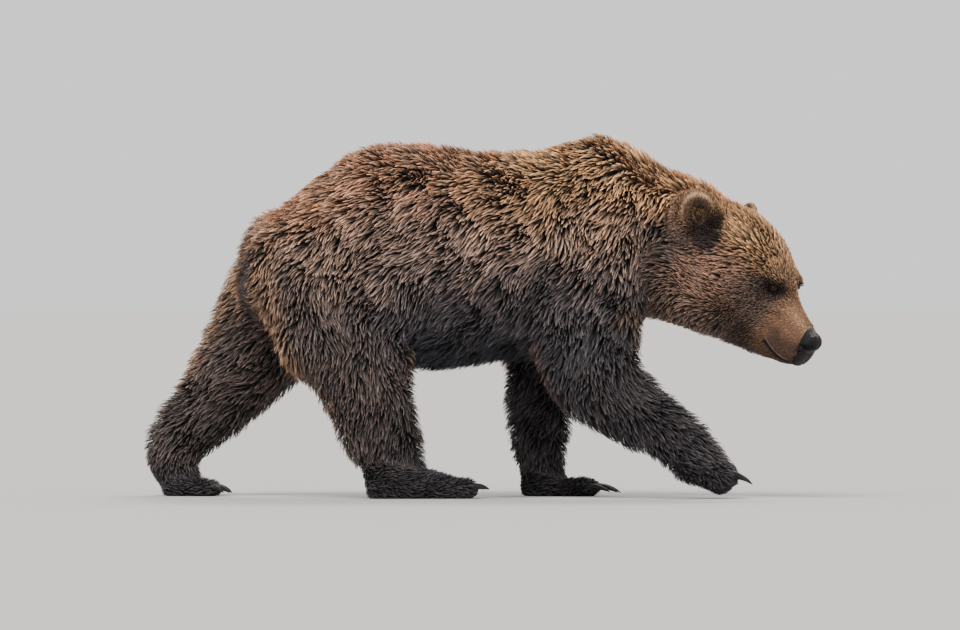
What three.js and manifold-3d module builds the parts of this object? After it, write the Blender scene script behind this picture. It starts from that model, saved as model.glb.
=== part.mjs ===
// A walking brown bear, life size, as a still museum model.
// Units are millimetres. The bear faces +X, its left side is +Y, and it stands on Z = 0.
// The body is one smooth surface, given as a signed distance made from lofts and limbs. It is
// turned into closed meshes, parted by planes into named nodes, and covered with locks of coat.
import * as THREE from "three";
import { mergeVertices } from "three/addons/utils/BufferGeometryUtils.js";
import Module from "manifold-3d";

const wasm = await Module();
wasm.setup();

// ---- Driving dimensions ----
const GAP = 0.3; // clearance between nodes that touch
const LEFT = 1;
const RIGHT = -1;
const COAT_DEPTH = 30; // height of the coat's tips over the skin, on the body
const CORE_SHARE = 0.6; // how far up the coat the solid core reaches

// The trunk from rump to throat. Each row is one upright section: its place along X, its top and
// bottom, its half width, and how far its middle sways to the side.
const TRUNK_CAP = { rear: 66, front: 60 };
const TRUNK_SQUARENESS = 2.25;
const TRUNK_WIDEST = 0.46; // height of the widest line, as a share of the section
const TRUNK = [
  { t: -600, top: 760, bottom: 500, half: 150, sway: 0 },
  { t: -530, top: 834, bottom: 440, half: 200, sway: 0 },
  { t: -450, top: 900, bottom: 408, half: 228, sway: 0 },
  { t: -380, top: 954, bottom: 390, half: 240, sway: 0 },
  { t: -260, top: 986, bottom: 374, half: 250, sway: 0 },
  { t: -120, top: 975, bottom: 368, half: 262, sway: 0 },
  { t: 20, top: 962, bottom: 384, half: 262, sway: 0 },
  { t: 140, top: 961, bottom: 396, half: 248, sway: 0 },
  { t: 225, top: 981, bottom: 400, half: 236, sway: 0 },
  { t: 310, top: 1008, bottom: 408, half: 222, sway: 0 },
  { t: 395, top: 988, bottom: 440, half: 205, sway: 0 },
  { t: 465, top: 947, bottom: 520, half: 182, sway: -6 },
  { t: 540, top: 905, bottom: 524, half: 166, sway: -24 },
  { t: 610, top: 868, bottom: 516, half: 152, sway: -50 },
];

// The head is lofted along its own axis, which is pitched down and turned to the bear's right.
const HEAD_ORIGIN = new THREE.Vector3(624, -56, 672); // between the ears, at mid height
const HEAD_PITCH = THREE.MathUtils.degToRad(38.4);
const HEAD_YAW = THREE.MathUtils.degToRad(28);
const HEAD_SQUARENESS = 2.3;
const HEAD_WIDEST = 0.42;
const HEAD_CAP = { rear: 80, front: 20 };
const HEAD = [
  { t: -90, top: 128, bottom: -160, half: 120 },
  { t: -10, top: 166, bottom: -177, half: 145 },
  { t: 58, top: 186, bottom: -161, half: 150 },
  { t: 117, top: 186, bottom: -145, half: 142 },
  { t: 175, top: 170, bottom: -131, half: 122 },
  { t: 220, top: 145, bottom: -121, half: 100 },
  { t: 258, top: 112, bottom: -112, half: 80 },
  { t: 290, top: 85, bottom: -104, half: 66 },
  { t: 330, top: 66, bottom: -94, half: 59 },
  { t: 375, top: 52, bottom: -79, half: 52 },
  { t: 402, top: 43, bottom: -62, half: 43 },
];

// Limbs: a line through the middle of each limb, with its half thickness fore and aft and sideways.
const LIMBS = {
  fore_right: [
    { x: 283, y: -110, z: 790, fore: 170, side: 90 },
    { x: 291, y: -138, z: 620, fore: 166, side: 104 },
    { x: 288, y: -160, z: 500, fore: 148, side: 98 },
    { x: 294, y: -172, z: 405, fore: 138, side: 88 },
    { x: 324, y: -174, z: 330, fore: 126, side: 80 },
    { x: 384, y: -168, z: 267, fore: 105, side: 70 },
    { x: 482, y: -160, z: 209, fore: 88, side: 62 },
    { x: 548, y: -154, z: 160, fore: 73, side: 58 },
    { x: 592, y: -150, z: 106, fore: 64, side: 56 },
  ],
  fore_left: [
    { x: 262, y: 112, z: 780, fore: 160, side: 90 },
    { x: 232, y: 140, z: 610, fore: 152, side: 104 },
    { x: 192, y: 162, z: 450, fore: 126, side: 94 },
    { x: 166, y: 166, z: 340, fore: 101, side: 80 },
    { x: 160, y: 160, z: 240, fore: 91, side: 68 },
    { x: 160, y: 152, z: 165, fore: 82, side: 60 },
    { x: 164, y: 146, z: 100, fore: 67, side: 56 },
    { x: 172, y: 144, z: 50, fore: 58, side: 56 },
  ],
  hind_right: [
    { x: -465, y: -110, z: 700, fore: 178, side: 110 },
    { x: -432, y: -146, z: 580, fore: 190, side: 116 },
    { x: -392, y: -168, z: 468, fore: 184, side: 106 },
    { x: -342, y: -176, z: 365, fore: 145, side: 92 },
    { x: -315, y: -174, z: 280, fore: 122, side: 78 },
    { x: -291, y: -168, z: 200, fore: 110, side: 68 },
    { x: -260, y: -162, z: 125, fore: 94, side: 60 },
    { x: -240, y: -160, z: 60, fore: 82, side: 56 },
  ],
  hind_left: [
    { x: -480, y: 110, z: 690, fore: 180, side: 108 },
    { x: -552, y: 142, z: 540, fore: 178, side: 112 },
    { x: -634, y: 160, z: 425, fore: 152, side: 100 },
    { x: -706, y: 162, z: 324, fore: 127, side: 84 },
    { x: -769, y: 158, z: 248, fore: 107, side: 70 },
    { x: -825, y: 152, z: 190, fore: 95, side: 62 },
    { x: -862, y: 146, z: 138, fore: 86, side: 56 },
    { x: -872, y: 142, z: 92, fore: 69, side: 54 },
    { x: -852, y: 140, z: 50, fore: 56, side: 54 },
  ],
};
const LIMB_BLEND = 55;

// Paws: the place of the back of the sole, the pitch of the sole, the turn of the toes inwards,
// and the size. A claw's length is measured along its outer curve.
const PAWS = {
  fore_right: {
    x: 530, y: -153, z: 108, pitch: 31, turn: 3, length: 184, half: 62, instep: 116, front: 74,
    lift: 22, claw: 44, rise: 32,
  },
  fore_left: {
    x: 106, y: 146, z: 0, pitch: 0, turn: 8, length: 224, half: 64, instep: 62, front: 40,
    lift: 0, claw: 64, rise: 14,
  },
  hind_right: {
    x: -326, y: -162, z: 0, pitch: 0, turn: 6, length: 312, half: 62, instep: 118, front: 54,
    lift: 6, claw: 36, rise: 18,
  },
  hind_left: {
    x: -902, y: 141, z: 0, pitch: 0, turn: 5, length: 168, half: 60, instep: 46, front: 31,
    lift: 0, claw: 34, rise: 5,
  },
};
const TOES = 5;
const TOE = { long: 36, half: 16, high: 24 };

// ---- Small helpers ----
const unit = (x, y, z) => new THREE.Vector3(x, y, z).normalize();

// A smooth curve through the rows of a table, at t, for one of its columns.
function along(rows, t, column) {
  const last = rows.length - 1;
  let i = 0;
  while (i < last - 1 && t > rows[i + 1].t) i += 1;
  const slope = (k) => {
    const a = rows[Math.max(0, k - 1)];
    const b = rows[Math.min(last, k + 1)];
    return (b[column] - a[column]) / (b.t - a.t);
  };
  const span = rows[i + 1].t - rows[i].t;
  const u = THREE.MathUtils.clamp((t - rows[i].t) / span, 0, 1);
  const [u2, u3] = [u * u, u * u * u];
  return (
    (2 * u3 - 3 * u2 + 1) * rows[i][column] +
    (u3 - 2 * u2 + u) * span * slope(i) +
    (3 * u2 - 2 * u3) * rows[i + 1][column] +
    (u3 - u2) * span * slope(i + 1)
  );
}

// Distance to a rounded box-like oval: offsets a, b, c against half sizes ra, rb, rc.
function oval(a, b, c, ra, rb, rc, n) {
  const [A, B, C] = [Math.abs(a) / ra, Math.abs(b) / rb, Math.abs(c) / rc];
  const q = (A ** n + B ** n + C ** n) ** (1 / n);
  if (q < 1e-6) return -Math.min(ra, rb);
  const slope = Math.hypot(A ** (n - 1) / ra, B ** (n - 1) / rb, C ** (n - 1) / rc);
  return (q - 1) / (q ** (1 - n) * slope);
}

const smoothMin = (a, b, k) => {
  const h = Math.max(k - Math.abs(a - b), 0) / k;
  return Math.min(a, b) - h * h * k * 0.25;
};
const smoothMax = (a, b, k) => -smoothMin(-a, -b, k);

// ---- The body's surface ----
function loft(rows, t, side, up, squareness, widest, cap) {
  const first = rows[0].t;
  const last = rows[rows.length - 1].t;
  const at = THREE.MathUtils.clamp(t, first, last);
  const top = along(rows, at, "top");
  const bottom = along(rows, at, "bottom");
  const middle = bottom + widest * (top - bottom);
  const tall = up > middle ? top - middle : middle - bottom;
  const past = t < first ? (t - first) / cap.rear : (t - at) / cap.front;
  const capSize = t < first ? cap.rear : cap.front;
  return oval(side, up - middle, past * capSize, along(rows, at, "half"), tall, capSize, squareness);
}

const trunk = (p) =>
  loft(TRUNK, p.x, p.y - along(TRUNK, THREE.MathUtils.clamp(p.x, -600, 610), "sway"), p.z,
    TRUNK_SQUARENESS, TRUNK_WIDEST, TRUNK_CAP);

const headForward = new THREE.Vector3(
  Math.cos(HEAD_PITCH) * Math.cos(HEAD_YAW),
  -Math.cos(HEAD_PITCH) * Math.sin(HEAD_YAW),
  -Math.sin(HEAD_PITCH),
);
const headSide = new THREE.Vector3(Math.sin(HEAD_YAW), Math.cos(HEAD_YAW), 0);
const headUp = new THREE.Vector3().crossVectors(headForward, headSide);

const headPoint = (t, side, up) =>
  HEAD_ORIGIN.clone()
    .addScaledVector(headForward, t)
    .addScaledVector(headSide, side)
    .addScaledVector(headUp, up);

function inHead(p) {
  const d = p.clone().sub(HEAD_ORIGIN);
  return { t: d.dot(headForward), side: d.dot(headSide), up: d.dot(headUp) };
}

const BROW = { t: 230, side: 58, up: 106, long: 36, wide: 28, high: 22, blend: 30 };
const SOCKET = { t: 262, side: 84, up: 72, long: 30, wide: 22, high: 20, blend: 34 };
const CHEEK = { t: 100, side: 96, up: -52, long: 92, wide: 58, high: 84, blend: 50 };
const NOSE = { t: 404, side: 0, up: 20, long: 26, wide: 34, high: 26, blend: 8 };
const EYE = { t: 243, up: 83, radius: 13, sunk: 7 };

// The ears: each a thick oval leaf with a cup pressed into the side that faces forward and outward.
// The right ear is laid back, the left one stands more upright.
const EARS = {
  ear_left: { t: -8, up: 113, face: [0.66, 0.72, 0.2], tall: [-0.25, 0.4, 0.88] },
  ear_right: { t: -46, up: 116, face: [0.5, 0.82, 0.24], tall: [-0.62, 0.36, 0.7] },
};
const EAR = {
  side: 122, wide: 48, high: 60, thick: 25, blend: 14,
  cup: { wide: 35, high: 46, deep: 28, out: 25, down: 3 },
};

function lump(h, shape) {
  return oval(h.t - shape.t, Math.abs(h.side) - shape.side, h.up - shape.up,
    shape.long, shape.wide, shape.high, 2);
}

function earAxes({ face, tall }) {
  const out = unit(...face);
  const across = new THREE.Vector3(...tall).cross(out).normalize();
  return { out, across, tall: out.clone().cross(across) };
}
const earFrames = Object.fromEntries(Object.entries(EARS).map(([name, row]) => [name, earAxes(row)]));

function ear(h) {
  const name = h.side > 0 ? "ear_left" : "ear_right";
  const d = new THREE.Vector3(h.t - EARS[name].t, Math.abs(h.side) - EAR.side, h.up - EARS[name].up);
  const axes = earFrames[name];
  const [out, across, tall] = [d.dot(axes.out), d.dot(axes.across), d.dot(axes.tall)];
  const { cup } = EAR;
  const leaf = oval(across, tall, out, EAR.wide, EAR.high, EAR.thick, 2);
  const hollow = oval(across, tall + cup.down, out - cup.out, cup.wide, cup.high, cup.deep, 2);
  return smoothMax(leaf, -hollow, 8);
}

function head(p, withEars) {
  const h = inHead(p);
  let d = loft(HEAD, h.t, h.side, h.up, HEAD_SQUARENESS, HEAD_WIDEST, HEAD_CAP);
  d = smoothMin(d, lump(h, CHEEK), CHEEK.blend);
  d = smoothMin(d, lump(h, BROW), BROW.blend);
  d = smoothMax(d, -lump(h, SOCKET), SOCKET.blend);
  d = smoothMin(d, lump(h, NOSE), NOSE.blend);
  return withEars ? smoothMin(d, ear(h), EAR.blend) : d;
}

// A limb becomes a fine chain of points on a smooth curve, with its thickness at each of them.
const LIMB_STEPS = 24;
function chainOf(rows) {
  const curve = new THREE.CatmullRomCurve3(rows.map((r) => new THREE.Vector3(r.x, r.y, r.z)));
  const sizes = new THREE.CatmullRomCurve3(rows.map((r) => new THREE.Vector3(r.fore, r.side, 0)));
  return Array.from({ length: LIMB_STEPS + 1 }, (_, i) => ({
    at: curve.getPoint(i / LIMB_STEPS),
    size: sizes.getPoint(i / LIMB_STEPS),
    way: curve.getTangent(i / LIMB_STEPS),
  }));
}
const chains = Object.fromEntries(Object.entries(LIMBS).map(([name, rows]) => [name, chainOf(rows)]));

function nearest(chain, p) {
  let best = Infinity;
  let found = null;
  for (let i = 0; i < chain.length - 1; i += 1) {
    const a = chain[i].at;
    const ab = chain[i + 1].at.clone().sub(a);
    const ap = p.clone().sub(a);
    const u = THREE.MathUtils.clamp(ap.dot(ab) / ab.lengthSq(), 0, 1);
    const off = ap.addScaledVector(ab, -u);
    if (off.lengthSq() < best) {
      best = off.lengthSq();
      found = { i, u, off };
    }
  }
  const [a, b] = [chain[found.i], chain[found.i + 1]];
  return {
    off: found.off,
    way: a.way.clone().lerp(b.way, found.u).normalize(),
    size: a.size.clone().lerp(b.size, found.u),
  };
}

function limb(chain, p) {
  const { off, way, size } = nearest(chain, p);
  const side = new THREE.Vector3(0, 1, 0).addScaledVector(way, -way.y).normalize();
  const fore = new THREE.Vector3().crossVectors(side, way);
  const end = Math.min(size.x, size.y) * 0.9;
  return oval(off.dot(fore), off.dot(side), off.dot(way), size.x, size.y, end, 2);
}

// A paw in its own frame: forward along the sole, sideways, and up from the sole.
function pawFrame(name) {
  const paw = PAWS[name];
  const left = name.endsWith("left") ? LEFT : RIGHT;
  const turn = new THREE.Euler(0, THREE.MathUtils.degToRad(paw.pitch),
    THREE.MathUtils.degToRad(-left * paw.turn), "ZYX");
  const basis = new THREE.Matrix4().makeRotationFromEuler(turn);
  basis.setPosition(paw.x, paw.y, paw.z);
  return { ...paw, left, basis, inverse: basis.clone().invert() };
}
const paws = Object.fromEntries(Object.keys(PAWS).map((name) => [name, pawFrame(name)]));

// The middle of toe i, from the big inner one to the small outer one, in the paw's own frame.
function toe(paw, i) {
  const across = (i - (TOES - 1) / 2) / ((TOES - 1) / 2);
  return {
    f: paw.length - TOE.long - 15 * across * across,
    s: across * (paw.half - TOE.half),
    u: TOE.high * 0.86 + paw.lift,
  };
}

function pawDistance(paw, point) {
  const p = point.clone().applyMatrix4(paw.inverse);
  const back = 36;
  const front = paw.length - 40;
  const t = THREE.MathUtils.clamp(p.x, back, front);
  const share = (t - back) / (front - back);
  const high = THREE.MathUtils.lerp(paw.instep, paw.front, share ** 0.8);
  const half = paw.half * (0.84 + 0.14 * Math.sin(share * Math.PI * 0.6));
  let d = oval(p.x - t, p.y, p.z - high * 0.36, 36, half, high * 0.64, 2.3);
  for (let i = 0; i < TOES; i += 1) {
    const c = toe(paw, i);
    d = smoothMin(d, oval(p.x - c.f, p.y - c.s, p.z - c.u, TOE.long, TOE.half, TOE.high, 2), 9);
  }
  return d;
}

// The tail: short and flat, hanging from the rump.
const TAIL = [
  { x: -592, y: 0, z: 734, fore: 34, side: 36 },
  { x: -621, y: 0, z: 684, fore: 32, side: 34 },
  { x: -645, y: 0, z: 628, fore: 24, side: 26 },
];
const tailChain = chainOf(TAIL);

function body(p, withEars = true) {
  let d = smoothMin(trunk(p), head(p, withEars), 90);
  for (const name of Object.keys(LIMBS)) {
    d = smoothMin(d, limb(chains[name], p), LIMB_BLEND);
    d = smoothMin(d, pawDistance(paws[name], p), 26);
  }
  return smoothMin(d, limb(tailChain, p), 16);
}

// How deep the coat is over the skin, from the body down to the bare nose.
const COAT = { body: 30, leg: 22, paw: 8, head: 14, face: 8, muzzle: 3, ear: 3 };
const ramp = (x, from, to) => THREE.MathUtils.smoothstep(x, from, to);
const mix = THREE.MathUtils.lerp;

function coatDepth(p) {
  const leg = mix(COAT.leg, COAT.paw, 1 - ramp(p.z, 40, 150));
  const bodyOrLeg = mix(leg, COAT.body, ramp(p.z, 330, 520));
  const h = inHead(p);
  const onHead = ramp(h.t, -80, 60) * ramp(h.up, -260, -210);
  const skull = mix(COAT.head, COAT.face, ramp(h.t, 120, 250));
  const onFace = mix(skull, COAT.muzzle, ramp(h.t, 260, 330));
  return mix(COAT.ear, mix(bodyOrLeg, onFace, onHead), ramp(ear(h), 6, 30));
}

const core = (p, withEars = true) => body(p, withEars) + coatDepth(p) * CORE_SHARE;
const coreWithoutEars = (p) => core(p, false);

// ---- Closed meshes ----
function closedFrom(points, triangles) {
  const mesh = new wasm.Mesh({
    numProp: 3,
    vertProperties: new Float32Array(points),
    triVerts: new Uint32Array(triangles),
  });
  return new wasm.Manifold(mesh);
}

// A three.js geometry that closes on itself, as a solid.
function solidOf(geometry) {
  const welded = mergeVertices(geometry.deleteAttribute("uv").deleteAttribute("normal"), 1e-3);
  return closedFrom(welded.attributes.position.array, welded.index.array);
}

function largest(solid) {
  return solid.decompose().reduce((a, b) => (b.volume() > a.volume() ? b : a));
}

// Moves a point onto the surface where the field is zero, along the field's slope, up to a reach.
function settle(field, p, reach) {
  const e = 1;
  const value = field(p);
  const slope = new THREE.Vector3(
    field(p.clone().setX(p.x + e)) - value,
    field(p.clone().setY(p.y + e)) - value,
    field(p.clone().setZ(p.z + e)) - value,
  ).divideScalar(e);
  return p.add(slope.multiplyScalar(-value / Math.max(slope.lengthSq(), 0.2)).clampLength(0, reach));
}

// Turns the inside of a field into a closed mesh: one point in each grid cell that the surface
// crosses, and one four-sided face around each grid edge that it crosses.
const SETTLE = 0.3; // how far a net's point may settle, as a share of its cell
function netOf(field, low, high, cell) {
  const size = [0, 1, 2].map((i) => cell[i] ?? cell);
  const n = low.map((v, i) => Math.ceil((high[i] - v) / size[i]) + 1);
  const index = (i, j, k) => (i * n[1] + j) * n[2] + k;
  const place = (...at) => new THREE.Vector3(...at.map((v, i) => low[i] + v * size[i]));
  const value = new Float32Array(n[0] * n[1] * n[2]).fill(size[0]);
  for (let i = 1; i < n[0] - 1; i += 1) {
    for (let j = 1; j < n[1] - 1; j += 1) {
      for (let k = 1; k < n[2] - 1; k += 1) value[index(i, j, k)] = field(place(i, j, k));
    }
  }
  const points = [];
  const pointIn = new Int32Array(value.length).fill(-1);
  for (let i = 0; i < n[0] - 1; i += 1) {
    for (let j = 0; j < n[1] - 1; j += 1) {
      for (let k = 0; k < n[2] - 1; k += 1) {
        const at = crossing(value, index, place, [i, j, k]);
        if (at) {
          const inner = Math.min(i, j, k, n[0] - 2 - i, n[1] - 2 - j, n[2] - 2 - k) > 1;
          pointIn[index(i, j, k)] = points.length / 3;
          points.push(...(inner ? settle(field, at, SETTLE * Math.min(...size)) : at));
        }
      }
    }
  }
  return closedFrom(points, netFaces(value, pointIn, index, n));
}

const CORNERS = [0, 1, 2, 3, 4, 5, 6, 7].map((c) => [(c >> 2) & 1, (c >> 1) & 1, c & 1]);
const EDGES = CORNERS.flatMap((a) =>
  CORNERS.filter((b) => a.every((v, i) => v <= b[i]) && b.reduce((t, v, i) => t + v - a[i], 0) === 1)
    .map((b) => [a, b]));

// The mean of the places where the surface crosses the edges of one grid cell, or null.
function crossing(value, index, place, [i, j, k]) {
  const sum = new THREE.Vector3();
  let count = 0;
  for (const [a, b] of EDGES) {
    const va = value[index(i + a[0], j + a[1], k + a[2])];
    const vb = value[index(i + b[0], j + b[1], k + b[2])];
    if (va < 0 !== vb < 0) {
      const [pa, pb] = [place(i + a[0], j + a[1], k + a[2]), place(i + b[0], j + b[1], k + b[2])];
      sum.add(pa.lerp(pb, va / (va - vb)));
      count += 1;
    }
  }
  return count ? sum.divideScalar(count) : null;
}

function netFaces(value, pointIn, index, n) {
  const faces = [];
  const step = [[1, 0, 0], [0, 1, 0], [0, 0, 1]];
  for (let i = 0; i < n[0] - 1; i += 1) {
    for (let j = 0; j < n[1] - 1; j += 1) {
      for (let k = 0; k < n[2] - 1; k += 1) {
        for (let axis = 0; axis < 3; axis += 1) {
          const [a, b, c] = [step[axis], step[(axis + 1) % 3], step[(axis + 2) % 3]];
          const inside = value[index(i, j, k)] < 0;
          if (inside === value[index(i + a[0], j + a[1], k + a[2])] < 0) continue;
          const ring = [[0, 0], [1, 0], [1, 1], [0, 1]].map(([u, v]) =>
            pointIn[index(i - u * b[0] - v * c[0], j - u * b[1] - v * c[1], k - u * b[2] - v * c[2])]);
          if (!inside) ring.reverse();
          faces.push(ring[0], ring[1], ring[2], ring[0], ring[2], ring[3]);
        }
      }
    }
  }
  return faces;
}

// A closed body through rings that have the same number of points. Its first ring is closed by a
// fan to its middle, its last one by a fan to the tip, or to its middle where there is no tip.
function throughRings(rings, tip = null) {
  const sides = rings[0].length;
  const last = rings.length - 1;
  const middle = (ring) => ring.reduce((sum, p) => sum.add(p), new THREE.Vector3()).divideScalar(sides);
  const points = [...rings.flat(), middle(rings[0]), tip ?? middle(rings[last])].flatMap((p) => [...p]);
  const [first, end] = [sides * rings.length, sides * rings.length + 1];
  const triangles = [];
  for (let s = 0; s < sides; s += 1) {
    const t = (s + 1) % sides;
    for (let r = 0; r < last; r += 1) {
      const [a, b, c, d] = [r * sides + s, r * sides + t, (r + 1) * sides + s, (r + 1) * sides + t];
      triangles.push(a, b, d, a, d, c);
    }
    triangles.push(first, t, s, end, last * sides + s, last * sides + t);
  }
  const way = middle(rings[1]).sub(middle(rings[0]));
  const turn = rings[0][0].clone().sub(middle(rings[0])).cross(rings[0][1].clone().sub(middle(rings[0])));
  if (turn.dot(way) < 0) triangles.reverse();
  return closedFrom(points, triangles);
}

// The same through oval rings, each given by its middle and two half axes.
function sweep(rings, sides, tip = null) {
  const angles = Array.from({ length: sides }, (_, s) => (2 * Math.PI * s) / sides);
  return throughRings(rings.map(({ at, across, up }) => angles.map((angle) =>
    at.clone().addScaledVector(across, Math.cos(angle)).addScaledVector(up, Math.sin(angle)))), tip);
}

// ---- Where the body parts ----
// A cut is a plane through a place; the node keeps the side that its direction points to.
const cut = (at, toward) => ({ at: new THREE.Vector3(...at), toward: toward.clone().normalize() });
const flip = (c) => ({ at: c.at, toward: c.toward.clone().negate() });

// The convex space inside a box and a list of cuts, moved out on every side by grow.
function space({ low, high, cuts }, grow) {
  const middle = high.map((v, i) => (v + low[i]) / 2);
  const block = new THREE.BoxGeometry(...high.map((v, i) => v - low[i] + 2 * grow)).translate(...middle);
  return cuts.reduce((solid, { at, toward }) =>
    solid.trimByPlane([...toward], at.dot(toward) - grow), solidOf(block));
}

const HALF_GAP = GAP / 2;
const BODY_BOX = { low: [-780, -330, 300], high: [700, 330, 1040] };
const RUMP_END = cut([-330, 0, 0], unit(-1, 0, 0));
const BELLY_END = cut([90, 0, 0], unit(-1, 0, 0));
const NECK_START = cut([470, 0, 700], unit(1, 0, 0.12));
const HEAD_START = cut([600, -40, 706], unit(0.9, -0.3, -0.3));
const TAIL_START = cut([-606, 0, 690], unit(-0.93, 0, 0.36));

// The spaces of the legs' upper nodes: a slanted plane parts each from the trunk.
const LEG_TOPS = {
  fore_right: { x: 300, z: 500, lean: 0.55, back: 0, front: [108, 540], low: 200 },
  fore_left: { x: 220, z: 500, lean: 0.55, back: 0, front: [40, 470], low: 200 },
  hind_right: { x: -400, z: 560, lean: 0.6, back: 0.25, front: [-720, -190], low: 180 },
  hind_left: { x: -440, z: 560, lean: 0.6, back: 0.25, front: [-840, -190], low: 150 },
};
const LEG_INNER = 45;
// Where the knee or elbow and the wrist or ankle part each leg, as steps along its line.
const LEG_CUTS = {
  fore_right: { knee: 12, ankle: 21 },
  fore_left: { knee: 10, ankle: 20 },
  hind_right: { knee: 15, ankle: 20 },
  hind_left: { knee: 9, ankle: 19 },
};

const sideOf = (name) => (name.endsWith("left") ? LEFT : RIGHT);
const acrossLeg = (name, from) => cut([0, sideOf(name) * from, 0], unit(0, sideOf(name), 0));
function legSpaces(name) {
  const top = LEG_TOPS[name];
  const chain = chains[name];
  const side = sideOf(name);
  const joint = (step) => cut([...chain[step].at], chain[step].way);
  const [knee, ankle] = [joint(LEG_CUTS[name].knee), joint(LEG_CUTS[name].ankle)];
  const inner = acrossLeg(name, LEG_INNER);
  const body = cut([top.x, side * 150, top.z], unit(-top.back, side * top.lean, -0.8));
  const wide = (xs, z) => ({ low: [xs[0], -330, z[0]], high: [xs[1], 330, z[1]] });
  return {
    upper: { ...wide(top.front, [top.low, 760]), cuts: [inner, body, flip(knee)] },
    lower: { ...wide([-990, 800], [-30, 520]), cuts: [inner, knee, flip(ankle)] },
    paw: { ...wide([-990, 800], [-30, 300]), cuts: [inner, ankle] },
  };
}

// ---- The spaces of the other nodes ----
const headWay = (t, side, up) =>
  new THREE.Vector3()
    .addScaledVector(headForward, t)
    .addScaledVector(headSide, side)
    .addScaledVector(headUp, up);
const headCut = (t, side, up, toward) => cut([...headPoint(t, side, up)], headWay(...toward));

const FACE_BOX = { low: [600, -420, 300], high: [1000, 160, 760] };
const MUZZLE_START = headCut(284, 0, 0, [1, 0, 0]);
const MOUTH = { t: 298, up: -49 };
const LIP_PLANE = headCut(MOUTH.t, 0, MOUTH.up, [0, 0, 1]);
const JAW_START = headCut(MOUTH.t - 8, 0, MOUTH.up, [0.86, 0, -0.5]);
const NOSE_START = headCut(386, 0, 16, [0.94, 0, 0.34]);
const NOSE_BASE = headCut(396, 0, -12, [0, 0, 1]);

const SPACES = {
  rump: { ...BODY_BOX, cuts: [RUMP_END] },
  belly: { ...BODY_BOX, cuts: [flip(RUMP_END), BELLY_END] },
  chest: { ...BODY_BOX, cuts: [flip(BELLY_END), flip(NECK_START)] },
  neck: { ...BODY_BOX, cuts: [NECK_START, flip(HEAD_START)] },
  tail: { low: [-760, -46, 560], high: [-560, 46, 800], cuts: [TAIL_START] },
  head: { low: [480, -420, 330], high: [960, 220, 960], cuts: [HEAD_START, flip(MUZZLE_START)] },
  muzzle: { ...FACE_BOX, cuts: [MUZZLE_START, LIP_PLANE] },
  jaw: { ...FACE_BOX, cuts: [flip(LIP_PLANE), JAW_START] },
  nose: { ...FACE_BOX, cuts: [NOSE_START, NOSE_BASE] },
};

// An ear's space: beyond a plane over its root, and between two planes at its front and back.
function earSpace(name) {
  const side = sideOf(name);
  const { t, up, tall, face } = EARS[name];
  const axes = earFrames[name];
  const way = (v, sign) => [sign * v.x, sign * side * v.y, sign * v.z];
  const through = (v, off) => [t + v.x * off, side * (EAR.side + v.y * off), up + v.z * off];
  const plane = (v, off, sign) => headCut(...through(v, off), way(v, sign));
  return {
    low: [480, -420, 600], high: [800, 200, 960],
    cuts: [plane(axes.tall, -30, 1), plane(axes.across, -62, 1), plane(axes.across, 62, -1),
      plane(axes.out, -34, 1), plane(axes.out, 46, -1)],
  };
}

const netIn = ({ low, high }, cell, field = coreWithoutEars) => netOf(field, low, high, cell);
const inside = (net, spec, removed = []) =>
  removed.reduce((solid, other) => solid.subtract(space(other, HALF_GAP)),
    net.intersect(space(spec, -HALF_GAP)));

// ---- The locks of the coat ----
// The way the coat lies: back and down over the trunk, down the legs, and back from the muzzle.
function lie(p) {
  const way = new THREE.Vector3(-1, 0, -0.15 - 0.75 * ramp(Math.abs(p.y), 60, 240));
  for (const name of Object.keys(LIMBS)) {
    const off = limb(chains[name], p);
    const share = ramp(trunk(p) - off, -10, 70) * (1 - ramp(off, 10, 60));
    way.lerp(nearest(chains[name], p).way.clone().add(new THREE.Vector3(-0.35, 0, 0)), share);
  }
  const h = inHead(p);
  const onHead = ramp(h.t, -60, 80) * ramp(h.up, -260, -210);
  const backOverHead = headForward.clone().negate().add(new THREE.Vector3(0, 0, -0.5));
  return way.lerp(backOverHead, onHead).normalize();
}

const slopeOf = (field, p) => {
  const e = 2;
  const value = field(p);
  const [x, y, z] = [[e, 0, 0], [0, e, 0], [0, 0, e]].map(([a, b, c]) =>
    field(new THREE.Vector3(p.x + a, p.y + b, p.z + c)) - value);
  return new THREE.Vector3(x, y, z).divideScalar(e);
};

const coat = (p) => body(p, false);

// Moves a point to a level of the body's field, where 0 is the coat's outer surface.
function toLevel(p, level) {
  const slope = slopeOf(coat, p);
  return p.addScaledVector(slope, (level - coat(p)) / Math.max(slope.lengthSq(), 0.2));
}
const ontoLevel = (p, level) => toLevel(toLevel(p, level), level);

// Locks by region: half width, length and the room each takes.
const LOCKS = {
  body: { half: 72, long: 320, room: 156 },
  upper: { half: 58, long: 260, room: 132 },
  lower: { half: 42, long: 185, room: 106 },
  neck: { half: 54, long: 210, room: 124 },
};
// A lock along its length: its width, and how far it has risen from the core to the tips.
const LOCK_RINGS = [
  { s: 0, wide: 0.6, rise: -1.2 },
  { s: 0.24, wide: 0.96, rise: 0 },
  { s: 0.54, wide: 1, rise: 0.4 },
  { s: 0.8, wide: 0.6, rise: 0.75 },
];
// How far a lock stands clear of the core, its thickness, the height of its thin edges over its
// underside, how far its tip stands out of the coat, and how much its width may be drawn in or out.
const LOCK = { clear: 4, thick: 7, edge: 3, tip: 5, narrowest: 1.4, widest: 2.4 };

function lockKind(p) {
  const h = inHead(p);
  if (p.z < 95 || h.t > 10 || tailDistance(p) < 40 || ear(h) < 40) return null;
  if (p.z < 300) return LOCKS.lower;
  if (h.t > -150 && h.up > -260) return LOCKS.neck;
  return p.z < 520 ? LOCKS.upper : LOCKS.body;
}
const tailDistance = (p) => limb(tailChain, p);

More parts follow.
